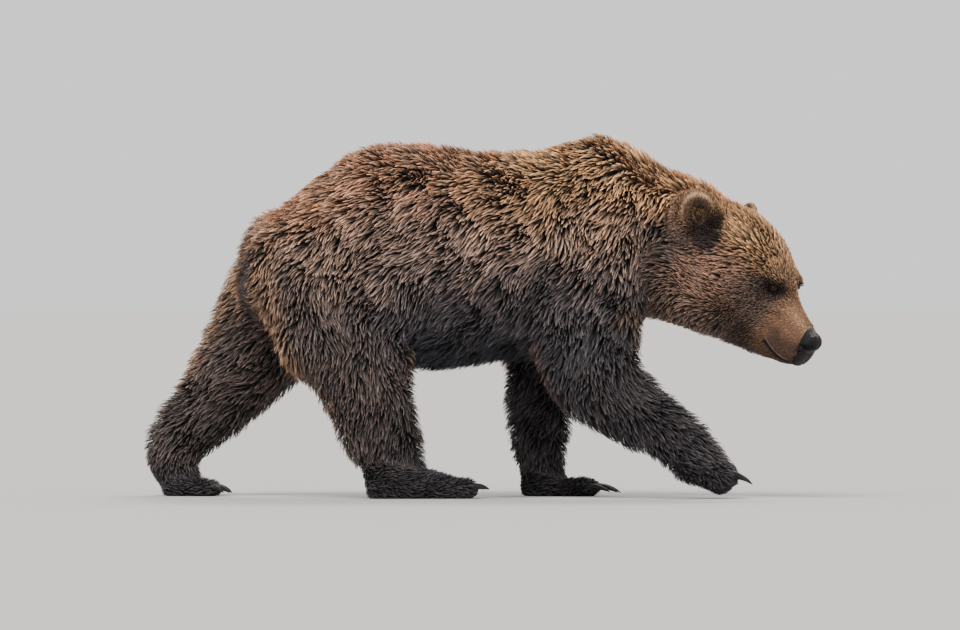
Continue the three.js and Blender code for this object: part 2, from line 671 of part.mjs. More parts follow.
// Random numbers from a fixed seed.
function seeded(seed) {
  let state = seed;
  return () => {
    state = (state + 0x6d2b79f5) | 0;
    let t = Math.imul(state ^ (state >>> 15), 1 | state);
    t = (t + Math.imul(t ^ (t >>> 7), 61 | t)) ^ t;
    return ((t ^ (t >>> 14)) >>> 0) / 4294967296;
  };
}
const random = seeded(91);
const between = (a, b) => a + (b - a) * random();

// Places on the core, spread evenly, each with room for one lock.
const LOCK_TRIES = 7003;
const LOCK_REACH = 70;
function lockRoots() {
  const found = [];
  for (let i = 0; i < LOCK_TRIES; i += 1) {
    const p = new THREE.Vector3(between(-950, 900), between(-290, 290), between(60, 1020));
    if (Math.abs(coreWithoutEars(p)) > LOCK_REACH) continue;
    settle(coreWithoutEars, settle(coreWithoutEars, p, LOCK_REACH), LOCK_REACH);
    if (Math.abs(coreWithoutEars(p)) > 3) continue;
    const kind = lockKind(p);
    if (kind && !found.some((other) => other.at.distanceTo(p) < kind.room)) found.push({ at: p, kind });
  }
  return found;
}

// One lock: rooted in the core, then standing free of it along its lie, or null where the surface
// turns too sharply for it.
function lockAt({ at, kind }) {
  const depth = coatDepth(at) * CORE_SHARE;
  const turn = between(-0.2, 0.2);
  const long = kind.long * between(0.88, 1.08);
  const p = at.clone();
  let s = 0;
  const step = (to) => {
    const out = slopeOf(coat, p).normalize();
    const way = lie(p).addScaledVector(out, -lie(p).dot(out)).normalize().applyAxisAngle(out, turn);
    p.addScaledVector(way, (to - s) * long);
    s = to;
    return out.cross(way);
  };
  let even = true;
  const rings = LOCK_RINGS.map((ring) => {
    const across = step(ring.s).multiplyScalar(kind.half * ring.wide);
    const under = LOCK.clear - depth + ring.rise * (depth - LOCK.clear);
    const point = (share, level) => ontoLevel(p.clone().addScaledVector(across, share), level);
    const [left, right] = [point(1, under + LOCK.edge), point(-1, under + LOCK.edge)];
    const width = left.distanceTo(right) / across.length();
    even &&= width > LOCK.narrowest && width < LOCK.widest;
    return [left, point(0, under + LOCK.thick), right, point(0, under)];
  });
  step(1);
  return even ? throughRings(rings, ontoLevel(p, LOCK.tip)) : null;
}
const locks = lockRoots().map(lockAt).filter(Boolean);

// Joins to a net the locks that reach into its box.
function coated(net, { low, high }) {
  const near = locks.filter((lock) => {
    const reach = lock.boundingBox();
    return low.every((v, i) => reach.max[i] > v && reach.min[i] < high[i]);
  });
  return wasm.Manifold.union([net, ...near]);
}

// ---- Trunk, neck, tail and legs ----
const CELL = {
  trunk: [98, 68, 64], leg: 57, neck: 58, tail: 34, paw: 27, head: 29, muzzle: 18, ear: 14.5, nose: 12.5,
};
const solids = {};
const legs = Object.fromEntries(Object.keys(LIMBS).map((name) => [name, legSpaces(name)]));
const legTops = Object.values(legs).map((spaces) => spaces.upper);

const trunkNet = coated(netIn(BODY_BOX, CELL.trunk), BODY_BOX);
solids.rump = inside(trunkNet, SPACES.rump, [...legTops, SPACES.tail]);
solids.belly = inside(trunkNet, SPACES.belly, legTops);
solids.chest = inside(trunkNet, SPACES.chest, legTops);
solids.tail = inside(netIn(SPACES.tail, CELL.tail), SPACES.tail);

for (const [name, spaces] of Object.entries(legs)) {
  const chain = chains[name];
  const xs = chain.map((c) => c.at.x);
  const low = [Math.min(...xs) - 240, -330, -30];
  const high = [Math.max(...xs) + 260, 330, 780];
  low[1] = name.endsWith("left") ? 20 : -330;
  high[1] = name.endsWith("left") ? 330 : -20;
  const net = coated(netOf(core, low, high, CELL.leg), { low, high });
  solids[`${name}_upper`] = inside(net, spaces.upper);
  solids[`${name}_lower`] = inside(net, spaces.lower);
  const paw = paws[name];
  const end = chain[LEG_CUTS[name].ankle].at;
  const tip = new THREE.Vector3(paw.length, 0, 0).applyMatrix4(paw.basis);
  const pawNet = netOf(core, [Math.min(end.x, paw.x) - 120, paw.y - 110, -20],
    [tip.x + 40, paw.y + 110, end.z + 70], CELL.paw);
  solids[`${name}_paw`] = inside(pawNet, spaces.paw).trimByPlane([0, 0, 1], 0);
}

// ---- Head ----
const ears = Object.fromEntries(Object.keys(EARS).map((name) => [name, earSpace(name)]));
const earSpaces = Object.values(ears);
const NECK_BOX = { low: [400, -330, 440], high: [760, 330, 1000] };
solids.neck = inside(coated(netIn(NECK_BOX, CELL.neck), NECK_BOX), SPACES.neck, [...legTops, ...earSpaces]);
solids.head = inside(coated(netIn(SPACES.head, CELL.head), SPACES.head), SPACES.head,
  [...earSpaces, SPACES.jaw]);
const faceNet = netIn(FACE_BOX, CELL.muzzle);
solids.muzzle = inside(faceNet, SPACES.muzzle, [SPACES.nose]);
solids.jaw = inside(faceNet, SPACES.jaw);
solids.nose = inside(netIn(FACE_BOX, CELL.nose), SPACES.nose);
for (const [name, spec] of Object.entries(ears)) solids[name] = inside(netIn(spec, CELL.ear, core), spec);

// Goes outward from a place until the field reaches a level, and returns the place.
function outward(field, from, way, level) {
  let [near, far] = [0, 200];
  for (let i = 0; i < 24; i += 1) {
    const middle = (near + far) / 2;
    if (field(from.clone().addScaledVector(way, middle)) < level) near = middle;
    else far = middle;
  }
  return from.clone().addScaledVector(way, near);
}

// A soft round cord of flesh along a line of places, such as a lid or a lip.
function fold(places, radius, sides) {
  const curve = new THREE.CatmullRomCurve3(places);
  const rings = places.map((at, i) => {
    const way = curve.getTangent(i / (places.length - 1));
    const across = headUp.clone().cross(way).normalize();
    const size = i === 0 || i === places.length - 1 ? radius * 0.35 : radius;
    const up = way.clone().cross(across).normalize().multiplyScalar(size);
    return { at, across: across.multiplyScalar(size), up };
  });
  return sweep(rings, sides);
}

const LID = { radius: 4.8, upper: 38, lower: -34, half: 80, steps: 6, out: 1.5 };
const BALL = { around: 10, along: 6 };
const ball = (at, radius) =>
  solidOf(new THREE.SphereGeometry(radius, BALL.around, BALL.along).translate(...at));

for (const [name, side] of [["eye_left", LEFT], ["eye_right", RIGHT]]) {
  const out = headWay(0.62, side * 0.74, 0.26).normalize();
  const at = outward(core, headPoint(EYE.t - 20, side * 36, EYE.up - 8), out, -EYE.sunk);
  const corner = headWay(-0.76, side * 0.64, -0.1).normalize();
  const up = corner.clone().cross(out).multiplyScalar(side);
  for (const tilt of [LID.upper, LID.lower]) {
    const places = Array.from({ length: LID.steps + 1 }, (_, i) => {
      const turn = THREE.MathUtils.degToRad(mix(-LID.half, LID.half, i / LID.steps));
      const lift = THREE.MathUtils.degToRad(tilt);
      return at.clone().addScaledVector(corner, (EYE.radius + LID.out) * Math.sin(turn))
        .addScaledVector(out, (EYE.radius + LID.out) * Math.cos(turn) * Math.cos(lift))
        .addScaledVector(up, (EYE.radius + LID.out) * Math.cos(turn) * Math.sin(lift));
    });
    solids.head = solids.head.add(fold(places, LID.radius, 4));
  }
  solids.head = solids.head.subtract(ball(at, EYE.radius + GAP));
  solids[name] = ball(at, EYE.radius);
}

// The lips run along the mouth from corner to corner, over and under the line of the mouth.
const LIP = { radius: 4.4, off: 5, steps: 10, reach: 128 };
for (const [name, off] of [["muzzle", LIP.off], ["jaw", -LIP.off]]) {
  const places = Array.from({ length: LIP.steps + 1 }, (_, i) => {
    const turn = THREE.MathUtils.degToRad(mix(-LIP.reach, LIP.reach, i / LIP.steps));
    const way = headWay(Math.cos(turn), Math.sin(turn), 0);
    return outward(core, headPoint(340, 0, MOUTH.up + off), way, -1.5);
  });
  const plane = name === "jaw" ? flip(LIP_PLANE) : LIP_PLANE;
  const lip = fold(places, LIP.radius, 4)
    .trimByPlane([...plane.toward], plane.at.dot(plane.toward) + HALF_GAP)
    .trimByPlane([...MUZZLE_START.toward], MUZZLE_START.at.dot(MUZZLE_START.toward) + 4);
  solids[name] = solids[name].add(lip);
}
solids.head = solids.head.subtract(space(SPACES.jaw, HALF_GAP));

// The nostrils: a round opening in front that runs into a slit along the side of the nose.
for (const side of [LEFT, RIGHT]) {
  const places = [[441, 12, 24], [428, 14, 22], [419, 21, 16], [411, 30, 9], [400, 40, 4]];
  const radii = [8, 7.5, 5.5, 4, 3];
  const rings = places.map(([t, off, up], i) => ({
    at: headPoint(t, side * off, up),
    across: headSide.clone().multiplyScalar(radii[i]),
    up: headUp.clone().multiplyScalar(radii[i]),
  }));
  solids.nose = solids.nose.subtract(sweep(rings, 8));
}

// ---- Claws ----
const CLAW = { hidden: 16, half: 6.4, high: 9, bend: 46, sides: 6, shares: [1, 0.86, 0.56, 0] };
function claw(paw, i, grow) {
  const root = toe(paw, i);
  const across = (i - (TOES - 1) / 2) / ((TOES - 1) / 2);
  const length = paw.claw * (1 - 0.14 * across * across) + CLAW.hidden;
  const steps = CLAW.shares.length - 1;
  const inWorld = (x, y, z) => new THREE.Vector3(x, y, z).transformDirection(paw.basis);
  let angle = THREE.MathUtils.degToRad(paw.rise);
  const at = new THREE.Vector3(root.f + TOE.long - CLAW.hidden, root.s, root.u + 5);
  const rings = CLAW.shares.map((share) => {
    const ring = {
      at: at.clone().applyMatrix4(paw.basis),
      across: inWorld(0, 1, 0).multiplyScalar(CLAW.half * share + grow),
      up: inWorld(-Math.sin(angle), 0, Math.cos(angle)).multiplyScalar(CLAW.high * share + grow),
    };
    angle -= THREE.MathUtils.degToRad(CLAW.bend / steps);
    at.add(new THREE.Vector3(Math.cos(angle), 0, Math.sin(angle)).multiplyScalar(length / steps));
    return ring;
  });
  rings[0].at.add(rings[0].at.clone().sub(rings[1].at).setLength(grow));
  return sweep(rings.slice(0, -1), CLAW.sides, rings[steps].at);
}
for (const [name, paw] of Object.entries(paws)) {
  for (let i = 0; i < TOES; i += 1) {
    solids[`${name}_claw_${i + 1}`] = claw(paw, i, 0);
    solids[`${name}_paw`] = solids[`${name}_paw`].subtract(claw(paw, i, GAP));
  }
}

// ---- Colours, and the finished group ----
const LOOKS = {
  coat: { color: 0x6e4c2e, roughness: 0.95 },
  dark: { color: 0x33251c, roughness: 0.95 },
  face: { color: 0x80603e, roughness: 0.9 },
  muzzle: { color: 0x97754f, roughness: 0.85 },
  nose: { color: 0x1b1718, roughness: 0.45 },
  eye: { color: 0x20120b, roughness: 0.08 },
  claw: { color: 0x3a312b, roughness: 0.5 },
};
function lookOf(name) {
  if (name.includes("claw")) return "claw";
  if (name.startsWith("eye")) return "eye";
  if (name === "nose") return "nose";
  if (name === "muzzle" || name === "jaw") return "muzzle";
  if (name === "head") return "face";
  if (name.endsWith("lower") || name.endsWith("paw")) return "dark";
  return "coat";
}

// Rounds the points of a solid, joins those that become one, and drops the faces that vanish or
// that lie back to back.
const ROUND = 1000; // parts of a millimetre
function tidied(solid) {
  const { vertProperties, triVerts } = solid.getMesh();
  const geometry = new THREE.BufferGeometry();
  const rounded = vertProperties.map((v) => Math.round(v * ROUND) / ROUND);
  geometry.setAttribute("position", new THREE.BufferAttribute(rounded, 3));
  geometry.setIndex(new THREE.BufferAttribute(triVerts, 1));
  const welded = mergeVertices(geometry, 0.1 / ROUND);
  const kept = new Map();
  for (let i = 0; i < triVerts.length; i += 3) {
    const face = Array.from(welded.index.array.slice(i, i + 3));
    const key = [...face].sort((a, b) => a - b).join();
    if (new Set(face).size === 3 && !kept.delete(key)) kept.set(key, face);
  }
  welded.setIndex([...kept.values()].flat());
  return welded;
}

function meshOf(name, solid) {
  const geometry = tidied(largest(solid));
  const mesh = new THREE.Mesh(geometry, new THREE.MeshStandardMaterial(LOOKS[lookOf(name)]));
  mesh.name = name;
  return mesh;
}

const bear = new THREE.Group();
bear.name = "brown_bear";
for (const [name, solid] of Object.entries(solids)) bear.add(meshOf(name, solid));
const box = new THREE.Box3().setFromObject(bear);
const middle = box.getCenter(new THREE.Vector3());
bear.position.set(-middle.x, -middle.y, -box.min.z);

export default bear;
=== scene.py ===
import math

import bpy
import numpy as np
from mathutils import Matrix, Vector
from mathutils.kdtree import KDTree


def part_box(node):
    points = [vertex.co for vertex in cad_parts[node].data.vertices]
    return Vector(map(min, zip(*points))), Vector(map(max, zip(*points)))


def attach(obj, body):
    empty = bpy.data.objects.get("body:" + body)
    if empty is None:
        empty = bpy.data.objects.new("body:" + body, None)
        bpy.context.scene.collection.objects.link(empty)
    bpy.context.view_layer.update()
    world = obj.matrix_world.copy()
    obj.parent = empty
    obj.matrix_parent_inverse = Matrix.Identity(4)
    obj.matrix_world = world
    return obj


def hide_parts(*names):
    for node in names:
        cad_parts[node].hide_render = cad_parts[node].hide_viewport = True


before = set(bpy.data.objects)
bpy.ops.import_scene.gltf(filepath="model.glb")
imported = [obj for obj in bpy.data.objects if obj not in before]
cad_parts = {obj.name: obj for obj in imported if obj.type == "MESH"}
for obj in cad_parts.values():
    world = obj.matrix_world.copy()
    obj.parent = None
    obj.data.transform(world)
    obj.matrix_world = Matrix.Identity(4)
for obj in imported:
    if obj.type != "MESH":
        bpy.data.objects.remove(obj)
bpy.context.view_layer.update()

rng = np.random.default_rng(417)


# ---- Driving dimensions, the same as the solids' ----
def table(columns, rows):
    return {name: np.array([row[i] for row in rows], float) for i, name in enumerate(columns.split())}


TRUNK_CAP = (66, 60)  # rear and front
TRUNK_SQUARENESS = 2.25
TRUNK_WIDEST = 0.46
TRUNK = table("t top bottom half sway", [
    (-600, 760, 500, 150, 0), (-530, 834, 440, 200, 0), (-450, 900, 408, 228, 0),
    (-380, 954, 390, 240, 0), (-260, 986, 374, 250, 0), (-120, 975, 368, 262, 0),
    (20, 962, 384, 262, 0), (140, 961, 396, 248, 0), (225, 981, 400, 236, 0),
    (310, 1008, 408, 222, 0), (395, 988, 440, 205, 0), (465, 947, 520, 182, -6),
    (540, 905, 524, 166, -24), (610, 868, 516, 152, -50),
])

HEAD_ORIGIN = np.array([624.0, -56.0, 672.0])
HEAD_PITCH = math.radians(38.4)
HEAD_YAW = math.radians(28)
HEAD_SQUARENESS = 2.3
HEAD_WIDEST = 0.42
HEAD_CAP = (80, 20)
HEAD = table("t top bottom half", [
    (-90, 128, -160, 120), (-10, 166, -177, 145), (58, 186, -161, 150), (117, 186, -145, 142),
    (175, 170, -131, 122), (220, 145, -121, 100), (258, 112, -112, 80), (290, 85, -104, 66),
    (330, 66, -94, 59), (375, 52, -79, 52), (402, 43, -62, 43),
])

LIMBS = {
    "fore_right": table("x y z fore side", [
        (283, -110, 790, 170, 90), (291, -138, 620, 166, 104), (288, -160, 500, 148, 98),
        (294, -172, 405, 138, 88), (324, -174, 330, 126, 80), (384, -168, 267, 105, 70),
        (482, -160, 209, 88, 62), (548, -154, 160, 73, 58), (592, -150, 106, 64, 56),
    ]),
    "fore_left": table("x y z fore side", [
        (262, 112, 780, 160, 90), (232, 140, 610, 152, 104), (192, 162, 450, 126, 94),
        (166, 166, 340, 101, 80), (160, 160, 240, 91, 68), (160, 152, 165, 82, 60),
        (164, 146, 100, 67, 56), (172, 144, 50, 58, 56),
    ]),
    "hind_right": table("x y z fore side", [
        (-465, -110, 700, 178, 110), (-432, -146, 580, 190, 116), (-392, -168, 468, 184, 106),
        (-342, -176, 365, 145, 92), (-315, -174, 280, 122, 78), (-291, -168, 200, 110, 68),
        (-260, -162, 125, 94, 60), (-240, -160, 60, 82, 56),
    ]),
    "hind_left": table("x y z fore side", [
        (-480, 110, 690, 180, 108), (-552, 142, 540, 178, 112), (-634, 160, 425, 152, 100),
        (-706, 162, 324, 127, 84), (-769, 158, 248, 107, 70), (-825, 152, 190, 95, 62),
        (-862, 146, 138, 86, 56), (-872, 142, 92, 69, 54), (-852, 140, 50, 56, 54),
    ]),
}
TAIL = table("x y z fore side", [(-592, 0, 734, 34, 36), (-621, 0, 684, 32, 34), (-645, 0, 628, 24, 26)])
LIMB_BLEND = 55
HEAD_BLEND = 90
PAW_BLEND = 26
TAIL_BLEND = 16

PAW_COLUMNS = "x y z pitch turn length half instep front lift claw rise".split()
PAWS = {
    "fore_right": (530, -153, 108, 31, 3, 184, 62, 116, 74, 22, 44, 32),
    "fore_left": (106, 146, 0, 0, 8, 224, 64, 62, 40, 0, 64, 14),
    "hind_right": (-326, -162, 0, 0, 6, 312, 62, 118, 54, 6, 36, 18),
    "hind_left": (-902, 141, 0, 0, 5, 168, 60, 46, 31, 0, 34, 5),
}
TOES = 5
TOE_LONG, TOE_HALF, TOE_HIGH = 36, 16, 24

BROW = dict(t=230, side=58, up=106, long=36, wide=28, high=22, blend=30)
SOCKET = dict(t=262, side=84, up=72, long=30, wide=22, high=20, blend=34)
CHEEK = dict(t=100, side=96, up=-52, long=92, wide=58, high=84, blend=50)
NOSE = dict(t=404, side=0, up=20, long=26, wide=34, high=26, blend=8)
EYE = dict(t=243, up=83, radius=13, sunk=7)
MOUTH = dict(start=302, long=130, up=-46, sag=17)
EARS = {
    "ear_left": dict(t=-8, up=113, face=(0.66, 0.72, 0.2), tall=(-0.25, 0.4, 0.88)),
    "ear_right": dict(t=-46, up=116, face=(0.5, 0.82, 0.24), tall=(-0.62, 0.36, 0.7)),
}
EAR = dict(side=122, wide=48, high=60, thick=25, blend=14)
EAR_CUP = dict(wide=35, high=46, deep=28, out=25, down=3)
COAT = dict(body=30, leg=22, paw=8, head=14, face=8, muzzle=3, ear=3)  # tips over the skin
CORE_SHARE = 0.6  # how far up the coat the solids' core reaches, down from the tips


# ---- Small helpers ----
def unit(v):
    v = np.asarray(v, float)
    return v / np.maximum(np.linalg.norm(v, axis=-1, keepdims=True), 1e-9)


def dot(a, b):
    return (a * b).sum(-1)


def mix(a, b, share):
    return a + (b - a) * share


def over(base, other, share):
    """Lays other colours or ways over the first, by a share for each place."""
    return mix(base, other, share[:, None])


def ramp(x, start, end):
    """From 0 at start smoothly to 1 at end, whichever of the two is greater."""
    share = np.clip((x - start) / (end - start), 0, 1)
    return share * share * (3 - 2 * share)


def smooth_min(a, b, k):
    h = np.maximum(k - np.abs(a - b), 0) / k
    return np.minimum(a, b) - h * h * k * 0.25


def smooth_max(a, b, k):
    return -smooth_min(-a, -b, k)


def in_chunks(field, points, size=60000):
    parts = [field(points[i:i + size]) for i in range(0, len(points), size)]
    return np.concatenate(parts)


def along(rows, t, column):
    """A smooth curve through the rows of a table, at t, for one of its columns."""
    ts, values = rows["t"], rows[column]
    k = np.arange(len(ts))
    before, after = np.maximum(k - 1, 0), np.minimum(k + 1, len(ts) - 1)
    slopes = (values[after] - values[before]) / (ts[after] - ts[before])
    i = np.searchsorted(ts[1:-1], t, side="left")
    span = ts[i + 1] - ts[i]
    u = np.clip((t - ts[i]) / span, 0, 1)
    u2, u3 = u * u, u * u * u
    return ((2 * u3 - 3 * u2 + 1) * values[i] + (u3 - 2 * u2 + u) * span * slopes[i]
            + (3 * u2 - 2 * u3) * values[i + 1] + (u3 - u2) * span * slopes[i + 1])


def oval(a, b, c, ra, rb, rc, n=2):
    """Distance to a rounded box-like oval: offsets a, b, c against half sizes ra, rb, rc."""
    a, b, c = np.abs(a) / ra, np.abs(b) / rb, np.abs(c) / rc
    an, bn, cn = a ** (n - 1), b ** (n - 1), c ** (n - 1)
    q = (an * a + bn * b + cn * c) ** (1 / n) + 1e-9
    slope = np.sqrt((an / ra) ** 2 + (bn / rb) ** 2 + (cn / rc) ** 2) + 1e-12
    return (q - 1) * q ** (n - 1) / slope


# ---- The body's outer surface, out to the tips of the coat ----
def loft(rows, t, side, up, squareness, widest, cap):
    at = np.clip(t, rows["t"][0], rows["t"][-1])
    top, bottom = along(rows, at, "top"), along(rows, at, "bottom")
    middle = bottom + widest * (top - bottom)
    tall = np.where(up > middle, top - middle, middle - bottom)
    size = np.where(t < at, cap[0], cap[1])
    return oval(side, up - middle, t - at, along(rows, at, "half"), tall, size, squareness)


def trunk(p):
    return loft(TRUNK, p[:, 0], p[:, 1] - along(TRUNK, p[:, 0], "sway"), p[:, 2],
                TRUNK_SQUARENESS, TRUNK_WIDEST, TRUNK_CAP)


HEAD_FORWARD = np.array([
    math.cos(HEAD_PITCH) * math.cos(HEAD_YAW),
    -math.cos(HEAD_PITCH) * math.sin(HEAD_YAW),
    -math.sin(HEAD_PITCH),
])
HEAD_SIDE = np.array([math.sin(HEAD_YAW), math.cos(HEAD_YAW), 0.0])
HEAD_UP = np.cross(HEAD_FORWARD, HEAD_SIDE)


def head_way(t, side, up):
    return HEAD_FORWARD * t + HEAD_SIDE * side + HEAD_UP * up


def head_point(t, side, up):
    return HEAD_ORIGIN + head_way(t, side, up)


def in_head(p):
    d = p - HEAD_ORIGIN
    return d @ HEAD_FORWARD, d @ HEAD_SIDE, d @ HEAD_UP


def lump(h, shape):
    t, side, up = h
    return oval(t - shape["t"], np.abs(side) - shape["side"], up - shape["up"],
                shape["long"], shape["wide"], shape["high"])


def ear_axes(row):
    out = unit(row["face"])
    across = unit(np.cross(row["tall"], out))
    return out, across, np.cross(out, across)


EAR_AXES = {name: ear_axes(row) for name, row in EARS.items()}
EAR_SIGNS = {"ear_left": 1, "ear_right": -1}


def in_ear(h, name):
    """A place in an ear's own frame: out of its cup, across it and up along it."""
    t, side, up = h
    row = EARS[name]
    d = np.stack([t - row["t"], np.abs(side) - EAR["side"], up - row["up"]], -1)
    return [d @ axis for axis in EAR_AXES[name]]


def ear_distance(h):
    left, right = (ear_leaf(*in_ear(h, name)) for name in ("ear_left", "ear_right"))
    return np.where(h[1] > 0, left, right)


def ear_leaf(out, across, tall):
    leaf = oval(across, tall, out, EAR["wide"], EAR["high"], EAR["thick"])
    hollow = oval(across, tall + EAR_CUP["down"], out - EAR_CUP["out"],
                  EAR_CUP["wide"], EAR_CUP["high"], EAR_CUP["deep"])
    return smooth_max(leaf, -hollow, 8)


def head_distance(p):
    h = in_head(p)
    d = loft(HEAD, *h, HEAD_SQUARENESS, HEAD_WIDEST, HEAD_CAP)
    d = smooth_min(d, lump(h, CHEEK), CHEEK["blend"])
    d = smooth_min(d, lump(h, BROW), BROW["blend"])
    d = smooth_max(d, -lump(h, SOCKET), SOCKET["blend"])
    d = smooth_min(d, lump(h, NOSE), NOSE["blend"])
    return smooth_min(d, ear_distance(h), EAR["blend"])


CHAIN_STEPS = 24


def curve_through(points, u):
    """The centripetal Catmull-Rom curve through points, at u from 0 to 1."""
    last = len(points) - 1
    i = np.minimum((u * last).astype(int), last - 1)
    w = (u * last - i)[:, None]
    longer = np.vstack([2 * points[0] - points[1], points, 2 * points[-1] - points[-2]])
    p0, p1, p2, p3 = (longer[i + k] for k in range(4))
    d0, d1, d2 = (np.maximum(dot(b - a, b - a)[:, None], 1e-9) ** 0.25
                  for a, b in ((p0, p1), (p1, p2), (p2, p3)))
    t1 = ((p1 - p0) / d0 - (p2 - p0) / (d0 + d1) + (p2 - p1) / d1) * d1
    t2 = ((p2 - p1) / d1 - (p3 - p1) / (d1 + d2) + (p3 - p2) / d2) * d1
    return (p1 + t1 * w + (-3 * p1 + 3 * p2 - 2 * t1 - t2) * w ** 2
            + (2 * p1 - 2 * p2 + t1 + t2) * w ** 3)


def chain_of(rows):
    middle = np.stack([rows["x"], rows["y"], rows["z"]], -1)
    sizes = np.stack([rows["fore"], rows["side"]], -1)
    u = np.linspace(0, 1, CHAIN_STEPS + 1)
    e = 1e-4
    at = curve_through(middle, u)
    way = unit(curve_through(middle, np.minimum(u + e, 1)) - curve_through(middle, np.maximum(u - e, 0)))
    size = curve_through(sizes, u)
    room = size.max() + 70
    return dict(at=at, way=way, size=size, low=at.min(0) - room, high=at.max(0) + room)


CHAINS = {name: chain_of(rows) for name, rows in LIMBS.items()}
TAIL_CHAIN = chain_of(TAIL)
FAR = 1000.0


def nearest(chain, p):
    """The nearest place on a chain: its step, the offset from it, its way and its size."""
    best = np.full(len(p), np.inf)
    step, share = np.zeros(len(p), int), np.zeros(len(p))
    at = chain["at"]
    for i in range(CHAIN_STEPS):
        ab = at[i + 1] - at[i]
        ap = p - at[i]
        u = np.clip(ap @ ab / (ab @ ab), 0, 1)
        off = ap - u[:, None] * ab
        far = dot(off, off)
        closer = far < best
        best = np.where(closer, far, best)
        step = np.where(closer, i, step)
        share = np.where(closer, u, share)
    w = share[:, None]
    middle = mix(at[step], at[step + 1], w)
    way = unit(mix(chain["way"][step], chain["way"][step + 1], w))
    return step + share, p - middle, way, mix(chain["size"][step], chain["size"][step + 1], w)


def limb_axes(way):
    """A limb's ways across it: to its side and to its fore."""
    side = unit([0, 1.0, 0] - way * way[:, 1:2])
    return side, np.cross(side, way)


def limb(chain, p):
    d = np.full(len(p), FAR)
    near = ((p > chain["low"]) & (p < chain["high"])).all(1)
    if near.any():
        _, off, way, size = nearest(chain, p[near])
        side, fore = limb_axes(way)
        d[near] = oval(dot(off, fore), dot(off, side), dot(off, way), *size.T, size.min(1) * 0.9)
    return d


def paw_frame(name):
    paw = dict(zip(PAW_COLUMNS, PAWS[name]))
    left = 1 if name.endswith("left") else -1
    turn = Matrix.Rotation(math.radians(-left * paw["turn"]), 3, "Z")
    paw["axes"] = np.array(turn @ Matrix.Rotation(math.radians(paw["pitch"]), 3, "Y"))
    paw["at"] = np.array([paw["x"], paw["y"], paw["z"]], float)
    return paw


PAW_FRAMES = {name: paw_frame(name) for name in PAWS}


def toe_spread(i):
    return (i - (TOES - 1) / 2) / ((TOES - 1) / 2)


def toe_place(paw, i):
    across = toe_spread(i)
    return (paw["length"] - TOE_LONG - 15 * across * across, across * (paw["half"] - TOE_HALF),
            TOE_HIGH * 0.86 + paw["lift"])


def in_paw(paw, p):
    return (p - paw["at"]) @ paw["axes"]


def paw_distance(paw, p):
    d = np.full(len(p), FAR)
    local = in_paw(paw, p)
    near = (np.abs(local - [paw["length"] / 2, 0, 60]) < [paw["length"] / 2 + 70, 140, 160]).all(1)
    x, y, z = local[near].T
    back, front = 36, paw["length"] - 40
    t = np.clip(x, back, front)
    share = (t - back) / (front - back)
    high = mix(paw["instep"], paw["front"], share ** 0.8)
    half = paw["half"] * (0.84 + 0.14 * np.sin(share * math.pi * 0.6))
    found = oval(x - t, y, z - high * 0.36, 36, half, high * 0.64, 2.3)
    for i in range(TOES):
        f, s, u = toe_place(paw, i)
        found = smooth_min(found, oval(x - f, y - s, z - u, TOE_LONG, TOE_HALF, TOE_HIGH), 9)
    d[near] = found
    return d


def body(p):
    d = smooth_min(trunk(p), head_distance(p), HEAD_BLEND)
    for name, chain in CHAINS.items():
        d = smooth_min(d, limb(chain, p), LIMB_BLEND)
        d = smooth_min(d, paw_distance(PAW_FRAMES[name], p), PAW_BLEND)
    return smooth_min(d, limb(TAIL_CHAIN, p), TAIL_BLEND)


def coat_depth(p):
    leg = mix(COAT["leg"], COAT["paw"], ramp(p[:, 2], 150, 40))
    body_or_leg = mix(leg, COAT["body"], ramp(p[:, 2], 330, 520))
    h = in_head(p)
    on_head = ramp(h[0], -80, 60) * ramp(h[2], -260, -210)
    skull = mix(COAT["head"], COAT["face"], ramp(h[0], 120, 250))
    on_face = mix(skull, COAT["muzzle"], ramp(h[0], 260, 330))
    return mix(COAT["ear"], mix(body_or_leg, on_face, on_head), ramp(ear_distance(h), 6, 30))


def core(p):
    return body(p) + coat_depth(p) * CORE_SHARE


def outward(field, start, way, level):
    """Goes outward from a place until the field reaches a level, and returns the place."""
    near, far = 0.0, 200.0
    for _ in range(24):
        middle = (near + far) / 2
        if field((start + way * middle)[None])[0] < level:
            near = middle
        else:
            far = middle
    return start + way * near


def eye_place(side):
    out = unit(head_way(0.62, side * 0.74, 0.26))
    return outward(core, head_point(EYE["t"] - 20, side * 36, EYE["up"] - 8), out, -EYE["sunk"]), out


EYES = {"eye_left": eye_place(1), "eye_right": eye_place(-1)}

# The row's frame is the bear's own frame moved a little: the right eye tells how far.
low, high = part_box("eye_right")
SHIFT = np.array((low + high) / 2) * 1000 - EYES["eye_right"][0]


# ---- Making meshes ----
def mesh_object(name, points, faces):
    """faces holds quads, with -1 as the fourth corner of a triangle."""
    mesh = bpy.data.meshes.new(name)
    counts = 4 - (faces[:, 3] < 0)
    corners = faces[faces >= 0]
    mesh.vertices.add(len(points))
    mesh.vertices.foreach_set("co", ((points + SHIFT) / 1000).astype(np.float32).ravel())
    mesh.loops.add(len(corners))
    mesh.loops.foreach_set("vertex_index", corners.astype(np.int32))
    mesh.polygons.add(len(faces))
    mesh.polygons.foreach_set("loop_start", (np.cumsum(counts) - counts).astype(np.int32))
    mesh.polygons.foreach_set("use_smooth", np.ones(len(faces), bool))
    mesh.update(calc_edges=True)
    mesh.validate()
    obj = bpy.data.objects.new(name, mesh)
    bpy.context.scene.collection.objects.link(obj)
    return obj


def paint(obj, colours):
    """Gives each point of a mesh its colour, in linear light."""
    layer = obj.data.color_attributes.new("Markings", "FLOAT_COLOR", "POINT")
    rgba = np.ones((len(colours), 4), np.float32)
    rgba[:, :3] = colours
    layer.data.foreach_set("color", rgba.ravel())


